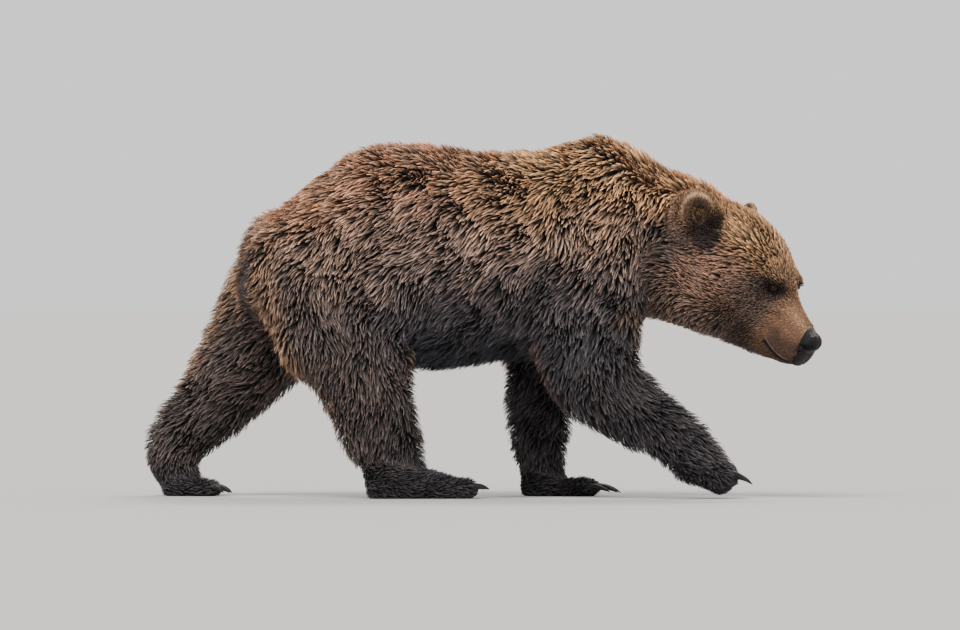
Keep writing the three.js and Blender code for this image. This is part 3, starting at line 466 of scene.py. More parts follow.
COARSE = 4  # lines between two places where the whole field is looked at
PROBE = 2.0  # how far apart a slope is measured


def sampled(field, lines):
    """The field at every crossing of the grid lines, worked out only near the surface."""
    rough_at = [np.arange(0, len(axis) + COARSE, COARSE).clip(max=len(axis) - 1) for axis in lines]
    rough_lines = [axis[at] for axis, at in zip(lines, rough_at)]
    grid = np.stack(np.meshgrid(*rough_lines, indexing="ij"), -1).reshape(-1, 3)
    rough = in_chunks(field, grid).reshape([len(axis) for axis in rough_lines])
    blocks = [np.minimum((np.arange(len(axis)) + COARSE // 2) // COARSE, len(at) - 1)
              for axis, at in zip(lines, rough_at)]
    value = rough[np.ix_(*blocks)]
    reach = 0.75 * COARSE * math.sqrt(sum(np.diff(axis).max() ** 2 for axis in lines)) + 4
    near = np.argwhere(np.abs(value) < reach)
    places = np.stack([axis[near[:, i]] for i, axis in enumerate(lines)], -1)
    value[tuple(near.T)] = in_chunks(field, places)
    return value


def net_of(field, lines):
    """Turns the inside of a field into a closed mesh of quads: one point in each crossed cell."""
    value = sampled(field, lines)
    inside = value < 0
    shape = tuple(n - 1 for n in value.shape)
    corners = [(i, j, k) for i in (0, 1) for j in (0, 1) for k in (0, 1)]
    full = sum(inside[i:shape[0] + i, j:shape[1] + j, k:shape[2] + k].astype(np.int8)
               for i, j, k in corners)
    cells = np.argwhere((full > 0) & (full < 8))
    number = np.full(shape, -1)
    number[tuple(cells.T)] = np.arange(len(cells))
    total, crossings = np.zeros((len(cells), 3)), np.zeros((len(cells), 1))
    for a in corners:
        for axis in np.flatnonzero(np.equal(a, 0)):
            ends = [cells + a, cells + a + np.eye(3, dtype=int)[axis]]
            va, vb = (value[tuple(at.T)][:, None] for at in ends)
            pa, pb = (np.stack([lines[i][at[:, i]] for i in range(3)], -1) for at in ends)
            crossed = (va < 0) != (vb < 0)
            share = va / np.where(crossed, va - vb, 1)
            total += np.where(crossed, mix(pa, pb, share), 0)
            crossings += crossed
    quads = []
    for axis in range(3):
        u, v = (axis + 1) % 3, (axis + 2) % 3
        first = np.take(inside, np.arange(shape[axis]), axis)
        edges = np.argwhere(first != np.take(inside, np.arange(shape[axis]) + 1, axis))
        edges = edges[(edges[:, [u, v]] > 0).all(1) & (edges[:, [u, v]] < [shape[u], shape[v]]).all(1)]
        ring = []
        for du, dv in ((0, 0), (-1, 0), (-1, -1), (0, -1)):
            cell = edges.copy()
            cell[:, u] += du
            cell[:, v] += dv
            ring.append(number[tuple(cell.T)])
        ring = np.stack(ring, -1)
        inwards = ~first[tuple(edges.T)]
        ring[inwards] = ring[inwards][:, ::-1]
        quads.append(ring)
    return total / crossings, np.concatenate(quads)


def surface(field, lines, passes, reach):
    """The field's surface, its points moved onto it along the slope, with the outward ways there."""
    points, quads = net_of(field, lines)
    for _ in range(passes):
        value = in_chunks(field, points)
        steps = [in_chunks(field, points + PROBE * axis) - value for axis in np.eye(3)]
        slope = np.stack(steps, -1) / PROBE
        move = -slope * (value / np.maximum(dot(slope, slope), 0.2))[:, None]
        size = np.linalg.norm(move, axis=1, keepdims=True)
        points = points + move * np.minimum(1, reach / np.maximum(size, 1e-9))
    return points, quads, unit(slope)


# ---- Noise: smooth waves of fixed, seeded directions ----
def waves(seed, size, count=7):
    draw = np.random.default_rng(seed)
    ways = unit(draw.normal(size=(count, 3))) * (2 * math.pi / (size * draw.uniform(0.6, 1.7, (count, 1))))
    return ways, draw.uniform(0, 2 * math.pi, count)


def noise(p, wave):
    """Smooth noise of about -1 to 1 over places in millimetres."""
    ways, phases = wave
    return np.sin(p @ ways.T + phases).sum(1) / math.sqrt(len(phases) * 0.5)


TURN_WAVES = waves(11, 170)
TURN_SMALL = waves(12, 60)
TONE_WAVES = waves(13, 150)
TONE_SMALL = waves(14, 42)
LENGTH_WAVES = waves(15, 90)


# ---- The skin ----
SKIN_SHARE = 0.8  # how deep the skin lies, as a share of the coat's depth
UNDER_NOSE = 16  # how far the skin steps back behind the nose's leather


def mouth_up(t):
    """How high the line of the mouth lies, along the head."""
    share = np.clip((t - MOUTH["start"]) / MOUTH["long"], 0, 1)
    return MOUTH["up"] - MOUTH["sag"] * np.sin(math.pi * share)


def skin_field(p):
    t, _, up = in_head(p)
    behind_nose = ramp(t, 388, 400) * ramp(up, -20, -8)
    return body(p) + coat_depth(p) * SKIN_SHARE + UNDER_NOSE * behind_nose


SKIN_LINES = [np.r_[-960.0:560:10, 560:966:5], np.arange(-300, 294, 6.5), np.arange(-6, 1016, 6.5)]
skin_points, skin_quads, skin_out = surface(skin_field, SKIN_LINES, 2, 3.0)
skin_points[:, 2] = np.maximum(skin_points[:, 2], 0.5)


# ---- How the coat lies ----
def limb_shares(p):
    """How far each place belongs to each limb."""
    trunk_off = trunk(p)
    offs = [limb(chain, p) for chain in CHAINS.values()]
    return [ramp(trunk_off - off, -10, 70) * ramp(off, 60, 10) for off in offs]


def off_eyes(p):
    return np.min([np.linalg.norm(p - at, axis=1) for at, _ in EYES.values()], axis=0)


def lie(p, out):
    """The way the coat lies, along the surface."""
    way = np.zeros((len(p), 3))
    way[:, 0] = -1
    flank = ramp(np.abs(p[:, 1]), 50, 220)
    shoulder, haunch = (np.exp(-(((p[:, 0] - x) / 150) ** 2)) for x in (330, -430))
    way[:, 2] = -0.1 - (0.9 + 1.1 * np.maximum(shoulder, 0.4 * haunch)) * flank
    for share, chain in zip(limb_shares(p), CHAINS.values()):
        way = over(way, nearest(chain, p)[2] + [-0.35, 0, 0], share)
    h = in_head(p)
    on_head = ramp(h[0], -150, 50) * ramp(h[2], -260, -210)
    back = -HEAD_FORWARD + [0, 0, -0.5]
    way = over(way, back, on_head)
    way[:, 2] -= 0.9 * on_head * ramp(h[2], -50, -110)
    for at, _ in EYES.values():
        off = p - at
        near_eye = ramp(np.linalg.norm(off, axis=1), 60, 20)
        way = over(way, unit(off) + 0.6 * back, 0.7 * near_eye)
    for name, sign in EAR_SIGNS.items():
        tall = EAR_AXES[name][2] * [1, sign, 1]
        on_ear = ramp(ear_distance(h), 22, 4) * (h[1] * sign > 0)
        way = over(way, head_way(*tall), on_ear)
    for paw in PAW_FRAMES.values():
        way = over(way, paw["axes"][:, 0], ramp(paw_distance(paw, p), 40, 4))
    return unit(way - out * dot(way, out)[:, None])


skin_lie = lie(skin_points, skin_out)


# ---- Colours ----
def linear(*rgb):
    c = np.array(rgb, float) / 255
    return np.where(c <= 0.04045, c / 12.92, ((c + 0.055) / 1.055) ** 2.4)


GOLD_TIP = linear(255, 202, 146)
BACK_TIP = linear(232, 174, 136)
FLANK_TIP = linear(202, 170, 154)
HAUNCH_TIP = linear(212, 176, 154)
# The bluish casts of the low flank, leg, belly, black and foot colours and of the black roots are painted
# cool shade from the sky on the lower, shaded body; their darkness is partly the coat's own.
COOL_SHADED_LOW_FLANK_TIP = linear(106, 98, 102)
COOL_SHADED_LEG_TIP = linear(90, 83, 87)
HIND_TIP = linear(128, 110, 104)
COOL_SHADED_BELLY_TIP = linear(74, 74, 84)
BLACK_TIP = linear(54, 53, 62)
COOL_SHADED_FOOT_TIP = linear(80, 75, 82)
REAR_TIP = linear(210, 166, 130)
RIM_LIT_FRINGE_TIP = linear(136, 104, 86)
GOLD_ROOT = linear(76, 46, 27)
BROWN_ROOT = linear(23, 12, 9)
BLACK_ROOT = linear(8, 8, 12)
NECK_TIP = linear(106, 94, 92)
HEAD_TIP = linear(198, 156, 134)
FACE_TIP = linear(142, 120, 108)
MUZZLE_TIP = linear(178, 134, 106)
BRIDGE_TIP = linear(250, 202, 158)
THROAT_TIP = linear(156, 132, 118)
CHIN_TIP = linear(58, 49, 48)
CUP_TIP = linear(128, 100, 82)
RIM_TIP = linear(255, 212, 170)
SKIN_DARK = linear(15, 12, 13)


def to_segment(p, a, b):
    """How far places are from a straight line between two points, and how far along it they lie."""
    u = np.clip((p - a) @ (b - a) / ((b - a) @ (b - a)), 0, 1)
    return np.linalg.norm(p - a - u[:, None] * (b - a), axis=1), u


def eye_axes(name):
    """An eye's own ways: out of the head, back to its outer corner, and up."""
    side = 1 if name == "eye_left" else -1
    out = EYES[name][1]
    corner = unit(head_way(-0.76, side * 0.64, -0.1))
    return out, corner, np.cross(corner, out) * side


def head_markings(p, out, wander):
    h = in_head(p)
    t, side, up = h
    high = up + 14 * wander
    facing_up = dot(out, HEAD_UP)
    tip = over(HEAD_TIP, GOLD_TIP, ramp(high, 50, 150))
    tip = over(tip, THROAT_TIP, ramp(high, -20, -120))
    tip = over(tip, FACE_TIP, ramp(t + 20 * wander, 140, 230) * (1 - 0.8 * ramp(up, 84, 108)))
    tip = over(tip, MUZZLE_TIP, ramp(t, 255, 300))
    tip = over(tip, BRIDGE_TIP, ramp(t, 225, 300) * ramp(facing_up, 0.35, 0.85))
    tip = over(tip, GOLD_TIP, 0.6 * ramp(facing_up, 0.5, 0.9) * ramp(t, 250, 215))
    tip = over(tip, CHIN_TIP, 0.9 * ramp(-facing_up, 0.1, 0.7) * ramp(t, 150, 330))
    lip = up - mouth_up(t)
    low_lip = np.maximum(ramp(lip, 14, 3), ramp(lip, 80, 42)) * ramp(t, 285, 330)
    round_nose = ramp(t, 384, 396) * ramp(up, 44, 20)
    tip = over(tip, CHIN_TIP * 0.7, np.maximum(low_lip, 0.8 * round_nose))
    for name, (at, _) in EYES.items():
        _, corner, rise = eye_axes(name)
        off = to_segment(p, at + corner * 8, at - corner * 26 - rise * 4)[0]
        tip = over(tip, BLACK_TIP, 0.85 * ramp(off, 20, 7))
    on_ears = ramp(ear_distance(h), 14, 6)
    pale = np.zeros(len(p))
    for name, sign in EAR_SIGNS.items():
        ear_out, ear_across, ear_tall = in_ear(h, name)
        here = side * sign > 0
        # Painted shadow: tips below and a little in front of each ear turn nearly black.
        below = ramp(np.hypot((ear_across + 18) * 0.85, ear_tall + 56), 70, 30)
        tip = over(tip, BLACK_TIP * 0.7, 0.95 * below * here)
        on_leaf = on_ears * here * ramp(ear_tall + 0.6 * ear_across, -45, -10)
        tip = over(tip, NECK_TIP, 0.7 * on_leaf * (ear_out < 4))
        across_leaf = np.hypot(ear_across / EAR["wide"], ear_tall / EAR["high"])
        in_cup = ramp(across_leaf, 0.84, 0.72) * (ear_out > -20) * on_leaf
        shade = ramp(-0.6 * ear_across - 0.8 * ear_tall, -22, 18)
        tip = over(tip, over(CUP_TIP, BLACK_TIP, shade), in_cup)
        # Pale golden tips and paler roots along the upper rim of each ear: partly the rim's own pale hair,
        # partly painted rim light.
        rim = np.exp(-(((across_leaf - 0.97) / 0.055) ** 2)) * (ear_out > -16) * on_leaf
        rim = rim * ramp(ear_tall + 0.3 * ear_across, -20, 10)
        tip = over(tip, RIM_TIP, rim)
        pale = np.max([pale, rim, 0.12 * in_cup], axis=0)
    root = over(BROWN_ROOT, MUZZLE_TIP * 0.3, ramp(t, 250, 320))
    return tip, over(root, RIM_TIP * 0.45, pale)


def markings(p, out):
    """The coat's tip and root colours at places on the skin."""
    x, far_side, z = p[:, 0], np.abs(p[:, 1]), p[:, 2]
    wander = noise(p, TONE_WAVES) * 0.5 + noise(p, TONE_SMALL) * 0.35
    height = z + 26 * wander
    # Painted light from above: upward-facing coat high on the body gets paler back tips, more gold and,
    # where sunlit, golden roots; the gold is partly the coat's own.
    top_light_share = ramp(out[:, 2], 0.1, 0.75)
    behind = ramp(x, -200, -400)
    # Lower on the body and legs the tips turn dark and bluish: the dark is partly the coat's own, the bluish
    # cast is painted cool shade.
    low, high = over(COOL_SHADED_LOW_FLANK_TIP, HIND_TIP, behind), over(FLANK_TIP, HAUNCH_TIP, behind)
    tip = over(low, high, ramp(height, 540, 770))
    tip = over(tip, COOL_SHADED_BELLY_TIP, ramp(height, 560, 420) * (1 - 0.8 * behind))
    hind = ramp(x, -120, -320) * mix(0.55, 1, ramp(height, 200, 420))
    leg = ramp(height, 560, 330) * ramp(np.max(limb_shares(p), axis=0), 0.2, 0.7)
    tip = over(tip, over(COOL_SHADED_LEG_TIP, HIND_TIP, hind), leg)
    tip = over(tip, BACK_TIP, top_light_share * ramp(height, 640, 800))
    gold = ramp(x, -150, 180) * ramp(height, 640, 830) * (0.35 + 0.65 * top_light_share)
    tip = over(tip, GOLD_TIP, gold)
    # Painted rim light: tips along the front and back edges of the legs and low body turn reddish brown, as
    # light shining through the edge hair from behind would make them.
    rim_lit_fringe = ramp(np.abs(out[:, 0]), 0.6, 0.95) * ramp(z, 560, 420) * ramp(z, 60, 140)
    tip = over(tip, RIM_LIT_FRINGE_TIP, 0.5 * rim_lit_fringe)
    rear = ramp(-out[:, 0], 0.35, 0.9) * ramp(z, 140, 420) * (x < -200)
    tip = over(tip, REAR_TIP, 0.8 * rear)
    # Painted shadow: tips under the tail, round it and in the creases beside it, where tail and haunches
    # shade each other, turn nearly black.
    shadow_under_tail = ramp(far_side, 70, 30) * (x < -500) * ramp(z, 400, 470) * ramp(z, 700, 640)
    tail_off = limb(TAIL_CHAIN, p)
    shadow_round_tail = ramp(tail_off, 2, 12) * ramp(tail_off, 52, 26) * ramp(z, 780, 730)
    crease_shadow_by_tail = np.exp(-(((x + 634) / 12) ** 2)) * ramp(far_side, 20, 50)
    crease_shadow_by_tail = crease_shadow_by_tail * ramp(z, 500, 550) * ramp(z, 730, 690)
    tip = over(tip, BLACK_TIP, 0.9 * np.max([shadow_under_tail, shadow_round_tail, crease_shadow_by_tail], axis=0))
    root = over(BLACK_ROOT, BROWN_ROOT, np.maximum(gold, 0.6 * rear))
    sunlit = top_light_share * ramp(height, 700, 840) * np.maximum(ramp(x, 330, 500), 0.6 * behind)
    root = over(root, GOLD_ROOT, sunlit)
    h = in_head(p)
    on_ear = ramp(ear_distance(h), 34, 8)
    on_head = np.maximum(ramp(h[0], -70, 40), on_ear) * ramp(h[2], -250, -190)
    head_tip, head_root = head_markings(p, out, wander)
    behind_ear = np.hypot((h[0] + 70) / 120, (h[2] - 10) / 90)
    behind_ear = 0.75 * ramp(behind_ear, 1.1, 0.4) * ramp(np.abs(h[1]), 50, 110)
    tip = over(tip, NECK_TIP, behind_ear)
    tip = over(tip, over(head_tip, NECK_TIP, behind_ear * (1 - on_ear)), on_head)
    # The feet turn dark and bluish: partly the coat's own colour, with painted cool shade.
    foot = ramp(height, 150, 30)
    tip, root = over(tip, COOL_SHADED_FOOT_TIP, foot), over(over(root, head_root, on_head), BLACK_ROOT, foot)
    return tip * (1 + 0.14 * wander)[:, None], root


skin_tip, skin_root = markings(skin_points, skin_out)


# ---- Materials ----
def material(name, roughness, specular):
    mat = bpy.data.materials.new(name)
    mat.use_nodes = True
    shader = mat.node_tree.nodes["Principled BSDF"]
    shader.inputs["Roughness"].default_value = roughness
    shader.inputs["Specular IOR Level"].default_value = specular
    return mat, shader


def node(tree, kind, **values):
    made = tree.nodes.new(kind)
    for key, value in values.items():
        if key in made.inputs:
            made.inputs[key].default_value = value
        else:
            setattr(made, key, value)
    return made


def painted(name, roughness, specular, scale, tones, bump=None, kind="ShaderNodeTexNoise"):
    """A material of the painted markings, made uneven by noise of a given scale, with any bump."""
    mat, shader = material(name, roughness, specular)
    tree = mat.node_tree
    link = tree.links.new
    colour = node(tree, "ShaderNodeVertexColor", layer_name="Markings")
    place = node(tree, "ShaderNodeTexCoord").outputs["Object"]
    grain = node(tree, "ShaderNodeTexNoise", Scale=scale, Detail=4.0)
    tone = node(tree, "ShaderNodeMapRange", **{"To Min": tones[0], "To Max": tones[1]})
    blend = node(tree, "ShaderNodeMix", data_type="RGBA", blend_type="MULTIPLY", Factor=1)
    link(place, grain.inputs["Vector"])
    link(grain.outputs["Fac"], tone.inputs["Value"])
    link(colour.outputs["Color"], blend.inputs["A"])
    link(tone.outputs["Result"], blend.inputs["B"])
    link(blend.outputs["Result"], shader.inputs["Base Color"])
    if bump:
        relief = node(tree, kind, Scale=bump[0], Detail=4.0)
        raised = node(tree, "ShaderNodeBump", Strength=bump[1], Distance=bump[2])
        link(place, relief.inputs["Vector"])
        link(relief.outputs[0], raised.inputs["Height"])
        link(raised.outputs["Normal"], shader.inputs["Normal"])
    return mat, shader


fur_material, shader = painted("bear_coat", 0.62, 0.35, 60, (0.82, 1.18))
shader.inputs["Sheen Weight"].default_value = 0.15
shader.inputs["Sheen Roughness"].default_value = 0.4
skin_material, _ = painted("bear_skin", 0.85, 0.2, 160, (0.7, 1.3), (420, 0.5, 0.003))


def finish_piece(obj, mat, slot, *nodes):
    obj.data.materials.append(mat)
    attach(obj, "root")
    if nodes:
        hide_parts(*nodes)
    return obj


FLESH = ["rump", "belly", "chest", "tail", "neck", "head", "muzzle", "jaw", "ear_left", "ear_right"]
FLESH += [f"{name}_{part}" for name in LIMBS for part in ("upper", "lower", "paw")]
skin = mesh_object("skin", skin_points, skin_quads)
along_head = in_head(skin_points)[0][:, None]
skin_colour = mix(skin_root, skin_tip * 0.5, 0.6 * ramp(along_head, 250, 330))
paint(skin, mix(skin_colour, SKIN_DARK, ramp(along_head, 390, 398)))
finish_piece(skin, skin_material, "body_coat", *FLESH)


# ---- The coat ----
# By region: length of a tuft, half width, room between clumps, tufts to a square centimetre, and
# how far the tufts draw together into clumps and differ in tone.
KINDS = {
    "body": (48, 0.98, 8.5, 7.2, 0.95),
    "leg": (40, 0.92, 7.5, 8.2, 0.95),
    "paw": (19, 0.8, 6, 12, 0.85),
    "head": (30, 0.74, 6, 15, 0.95),
    "face": (16, 0.52, 3.8, 26, 0.85),
    "muzzle": (8.5, 0.42, 3, 42, 0.85),
    "ear": (8, 0.5, 4, 36, 0.55),
}
TUFTS = 285000


def kind_at(p):
    """The coat's kind at each place, as a row of the same columns."""
    rows = {name: np.array(row, float) for name, row in KINDS.items()}
    h = in_head(p)
    made = over(rows["paw"], rows["leg"], ramp(p[:, 2], 60, 140))
    made = over(made, rows["body"], ramp(p[:, 2], 300, 500))
    on_head = ramp(h[0], -110, 40) * ramp(h[2], -260, -200)
    under = np.maximum(-60 - h[2], 0)
    to_face = h[0] - 0.6 * np.maximum(h[2] - 70, 0) - 1.8 * under
    head = over(rows["head"], rows["face"], ramp(to_face, 115, 205))
    head = over(head, rows["muzzle"], ramp(h[0] - 0.8 * under, 262, 325))
    made = over(made, head, on_head)
    made[:, 0] *= mix(0.4, 1, ramp(off_eyes(p), 20, 60))
    over_jaw = h[2] - along(HEAD, h[0], "bottom")
    jaw = ramp(over_jaw, 60, 15) * on_head * ramp(h[0], 350, 270)
    made[:, 0] *= 1 + 0.6 * jaw
    made[:, 2] *= 1 + 0.3 * jaw
    return over(rows["ear"], made, ramp(ear_distance(h), 5, 60))


skin_kind = kind_at(skin_points)
skin_level = in_chunks(body, skin_points)


skin_faces = np.concatenate([skin_quads[:, [0, 1, 2]], skin_quads[:, [0, 2, 3]]])
face_corners = skin_points[skin_faces]
face_area = np.linalg.norm(np.cross(face_corners[:, 1] - face_corners[:, 0],
                                    face_corners[:, 2] - face_corners[:, 0]), axis=1) / 200


def bare_share(p):
    """0 where no coat grows: the nose, the eyes, the lips and the soles."""
    t, side, up = in_head(p)
    nose = 1 - ramp((t - 388) * 0.94 + (up - 16) * 0.34, -3, 1) * ramp(up, -22, -14)
    front = 1 - ramp(t, 402, 408) * ramp(up - mouth_up(t), -6, -2)
    lips = 1 - ramp(np.abs(up - mouth_up(t)), 6, 4) * ramp(t, 304, 310)
    eyes = ramp(off_eyes(p), 15, 19)
    sole = ramp(p[:, 2], 2, 5)
    return nose * front * lips * eyes * sole


skin_grown = bare_share(skin_points)


def scattered(count_per_face):
    """Random places on the skin, each as its face and the weights of the face's corners."""
    counts = np.floor(count_per_face + rng.random(len(count_per_face))).astype(int)
    face = np.repeat(np.arange(len(counts)), counts)
    a, b = rng.random(len(face)), rng.random(len(face))
    folded = a + b > 1
    a, b = np.where(folded, 1 - a, a), np.where(folded, 1 - b, b)
    return skin_faces[face], np.stack([1 - a - b, a, b], -1)


def at_places(values, corners, weights):
    picked = values[corners]
    return (picked * weights.reshape(*weights.shape, *[1] * (picked.ndim - 2))).sum(1)


def stand_out(p, out):
    """How many millimetres the coat stands out further than it does on the flank."""
    x, _, z = p.T
    ahead, _, rise = out.T
    t = in_head(p)[0]
    above_sole = ramp(z, 60, 200)
    under_head = ramp(-rise, 0.2, 0.75) * ramp(x, 430, 560) * ramp(t, 350, 290)
    crest = ramp(rise, 0.55, 0.95) * ramp(t, 220, 120)
    under_belly = ramp(-rise, 0.6, 0.95) * (z > 330) * (x < 430)
    behind_leg = ramp(-ahead, 0.4, 0.85) * above_sole
    before_leg = ramp(ahead, 0.5, 0.9) * above_sole * ramp(z, 600, 500)
    under_fore = ramp(-rise, 0.2, 0.7) * (x > 380) * (z < 360) * ramp(z, 24, 60)
    by_eye = ramp(off_eyes(p), 58, 24)
    return (16 * under_head + 9 * crest + 12 * under_belly + 13 * behind_leg + 9 * before_leg
            + 10 * under_fore - 7 * by_eye)


skin_stand = stand_out(skin_points, skin_out)
CURVE = np.array([1 / 3, 2 / 3, 1.0])
RISE = 1 - (1 - CURVE) ** 1.5
LOWEST = 2.5
PROUDEST = 20


def grown(corners, weights, long_spread, turn_spread, rise_spread):
    """Tufts at places on the skin: their roots, their three points, and what they were given."""
    root, out, way, kind, level, stand = (
        at_places(values, corners, weights)
        for values in (skin_points, skin_out, skin_lie, skin_kind, skin_level, skin_stand))
    out = unit(out)
    way = unit(way - out * dot(way, out)[:, None])
    count = len(root)
    turn = 0.18 * noise(root, TURN_WAVES) + 0.12 * noise(root, TURN_SMALL)
    turn = turn + turn_spread * rng.normal(size=count)
    across = np.cross(out, way)
    way = way * np.cos(turn)[:, None] + across * np.sin(turn)[:, None]
    long = kind[:, 0] * (1 + 0.16 * noise(root, LENGTH_WAVES) + long_spread * rng.normal(size=count))
    long = np.maximum(long, kind[:, 0] * 0.45)
    top = -level * (1.12 + 0.12 * noise(root, TURN_SMALL) + rise_spread * rng.normal(size=count))
    top = top + stand * rng.uniform(0.1, 1.9, count)
    top = np.clip(top, 0.2 * -level, np.minimum(0.85 * long, PROUDEST - level))
    flat = np.sqrt(long ** 2 - top ** 2)
    points = (root[:, None] + way[:, None] * (flat[:, None] * CURVE)[:, :, None]
              + out[:, None] * (top[:, None] * RISE)[:, :, None])
    wanted = level[:, None] + top[:, None] * RISE
    found = in_chunks(body, points.reshape(-1, 3)).reshape(count, 3)
    lift = np.clip(wanted - found, -0.35 * long[:, None] * CURVE, 0.5 * long[:, None] * CURVE)
    points = points + out[:, None] * lift[:, :, None]
    points[:, :, 2] = np.maximum(points[:, :, 2], LOWEST)
    return dict(root=root, out=out, across=across, kind=kind, points=points, long=long)


def gathered(strands, guides, pull, keep):
    """Draws strands towards their nearest guide, more so at their tips, and gives the guides."""
    tree = KDTree(len(guides["root"]))
    for i, place in enumerate(guides["root"].tolist()):
        tree.insert(place, i)
    tree.balance()
    guide = np.array([tree.find(place)[1] for place in strands["root"].tolist()])
    spread = (strands["root"] - guides["root"][guide])[:, None] * keep
    pull = strands["kind"][:, 4:5] * pull
    strands["points"] = mix(strands["points"], guides["points"][guide] + spread, pull[:, :, None])
    return guide


grow_area = face_area * skin_grown[skin_faces].mean(1)
clump_room = skin_kind[skin_faces, 2].mean(1) / 10
BUNCH = 3.2  # clumps across a bunch
BUNCH_PULL = np.array([0.06, 0.16, 0.28])
CLUMP_PULL = np.array([0.42, 0.82, 1.0])
WAVE = 0.07
bunches = grown(*scattered(grow_area / (BUNCH * clump_room) ** 2), 0.15, 0.2, 0.25)
clumps = grown(*scattered(grow_area / clump_room ** 2), 0.18, 0.14, 0.26)
gathered(clumps, bunches, BUNCH_PULL, 0.6)
wave = clumps["long"] * WAVE * rng.normal(size=len(clumps["root"]))
clumps["points"] += clumps["across"][:, None] * (wave[:, None] * [0.6, 0.9, 0.3])[:, :, None]
clump_tone = rng.normal(size=len(clumps["root"]))

per_face = grow_area * skin_kind[skin_faces, 3].mean(1)
tuft_corners, tuft_weights = scattered(per_face * (TUFTS / per_face.sum()))
tufts = grown(tuft_corners, tuft_weights, 0.16, 0.10, 0.16)
clump_of = gathered(tufts, clumps, CLUMP_PULL, 0.12)


def turn_share(a, b):
    return np.arctan2(a, b) / (2 * math.pi) + 0.5


TRUNK_ENDS = np.array([-1000, -330, 90, 470, 1000])
TRUNK_COATS = np.array([[f"coat_of_the_{name}_{side}" for side in ("right", "left")]
                        for name in ("rump", "belly", "chest", "neck")], object)


def coat_piece_of(p):
    """The name of the coat piece that each place belongs to, with its unwrap from 0 to 1."""
    x, y, z = p.T
    span = np.searchsorted(TRUNK_ENDS[1:-1], x, side="right")
    names = TRUNK_COATS[span, (y > 0).astype(int)]
    u = (x - TRUNK_ENDS[span]) / (TRUNK_ENDS[span + 1] - TRUNK_ENDS[span])
    v = turn_share(z - 660, y)
    for name, share in zip(CHAINS, limb_shares(p)):
        paw = PAW_FRAMES[name]
        step, off, way, _ = nearest(CHAINS[name], p)
        local = in_paw(paw, p)
        on_paw = paw_distance(paw, p) < 2
        here = (share > 0.5) & (z < 560) | on_paw
        on_leg = turn_share(off[:, 1], dot(off, limb_axes(way)[1]))
        names[here] = f"coat_of_the_{name}_leg"
        u[here] = np.where(on_paw, 0.62 + 0.38 * local[:, 0] / paw["length"], 0.6 * step / CHAIN_STEPS)[here]
        v[here] = np.where(on_paw, turn_share(local[:, 2] - 30, local[:, 1]), on_leg)[here]
    h = in_head(p)
    t, side, up = h
    on_head = (t > -40) & (up > -250) & (x > 560)
    names[on_head & (side > 0)] = "coat_of_the_head_left"
    names[on_head & (side <= 0)] = "coat_of_the_head_right"
    u[on_head] = ((t + 40) / 480)[on_head]
    v[on_head] = turn_share(side, up)[on_head]
    for name, sign in EAR_SIGNS.items():
        out, across, tall = in_ear(h, name)
        here = (ear_distance(h) < 4) & (side * sign > 0)
        names[here] = "coat_of_the_ears"
        u[here] = (0.5 - 0.25 * sign + 0.22 * across / 60)[here]
        v[here] = (np.where(out > 0, 0.25, 0.75) + 0.22 * tall / 70)[here]
    return names, np.stack([u, v], -1)


SUNK = 1.5  # how far a tuft's root lies under the skin
ROLL = 0.55
RING_WIDTHS = np.array([0.75, 1.0, 0.62])
PATCH = 0.003
FLOOR_ROOM = 0.8


def ribbons(tufts, chosen):
    """The tufts' meshes: each a ribbon of two quads and a triangle."""
    root = tufts["root"][chosen] - tufts["out"][chosen] * SUNK
    points = tufts["points"][chosen]
    half = tufts["kind"][chosen, 1] * rng.uniform(0.8, 1.25, len(root))
    spine = np.concatenate([root[:, None], points], 1)
    way = unit(spine[:, -1] - spine[:, 0])
    flat = unit(np.cross(way, tufts["out"][chosen]))
    lift = np.cross(flat, way)
    roll = rng.normal(size=len(root)) * ROLL
    across = flat * np.cos(roll)[:, None] + lift * np.sin(roll)[:, None]
    rings = []
    for i, width in enumerate(RING_WIDTHS):
        step = across * (half * width)[:, None]
        rings += [spine[:, i] - step, spine[:, i] + step]
    places = np.stack(rings + [spine[:, 3]], 1)
    places[:, :, 2] = np.maximum(places[:, :, 2], FLOOR_ROOM)
    base = np.arange(len(root))[:, None] * 7
    quads = np.array([[0, 1, 3, 2], [2, 3, 5, 4], [4, 5, 6, -1]])
    faces = np.where(quads[None] >= 0, base[:, :, None] + quads[None], -1).reshape(-1, 4)
    return places.reshape(-1, 3), faces


# Partly painted glints: the paler, warmer strands are partly pale hairs and partly stand in for single
# strands catching the light.
BRIGHT, BRIGHT_SHARE = 0.6, 0.16  # a few strands are much paler than the rest, and warmer
WARM = np.array([1.15, 1.0, 0.84])
TONE_SHARES = np.array([0.0, 0.0, 0.03, 0.03, 0.32, 0.32, 1.0])
tip_colour, root_colour = (at_places(values, tuft_corners, tuft_weights)
                           for values in (skin_tip, skin_root))
tone = 0.28 * clump_tone[clump_of] + 0.42 * rng.normal(size=len(clump_of))
paler = rng.random(len(clump_of)) < BRIGHT_SHARE
tone = np.exp((tone + BRIGHT * paler) * tufts["kind"][:, 4])
tip_colour = tip_colour * np.clip(tone, 0.3, 2.6)[:, None] * 1.08
tip_colour = tip_colour * np.where(paler[:, None], WARM, 1)
piece_names, unwrap = coat_piece_of(tufts["root"])
SLOTS = {"head": "head_coat", "ears": "head_coat", "leg": "dark_coat"}

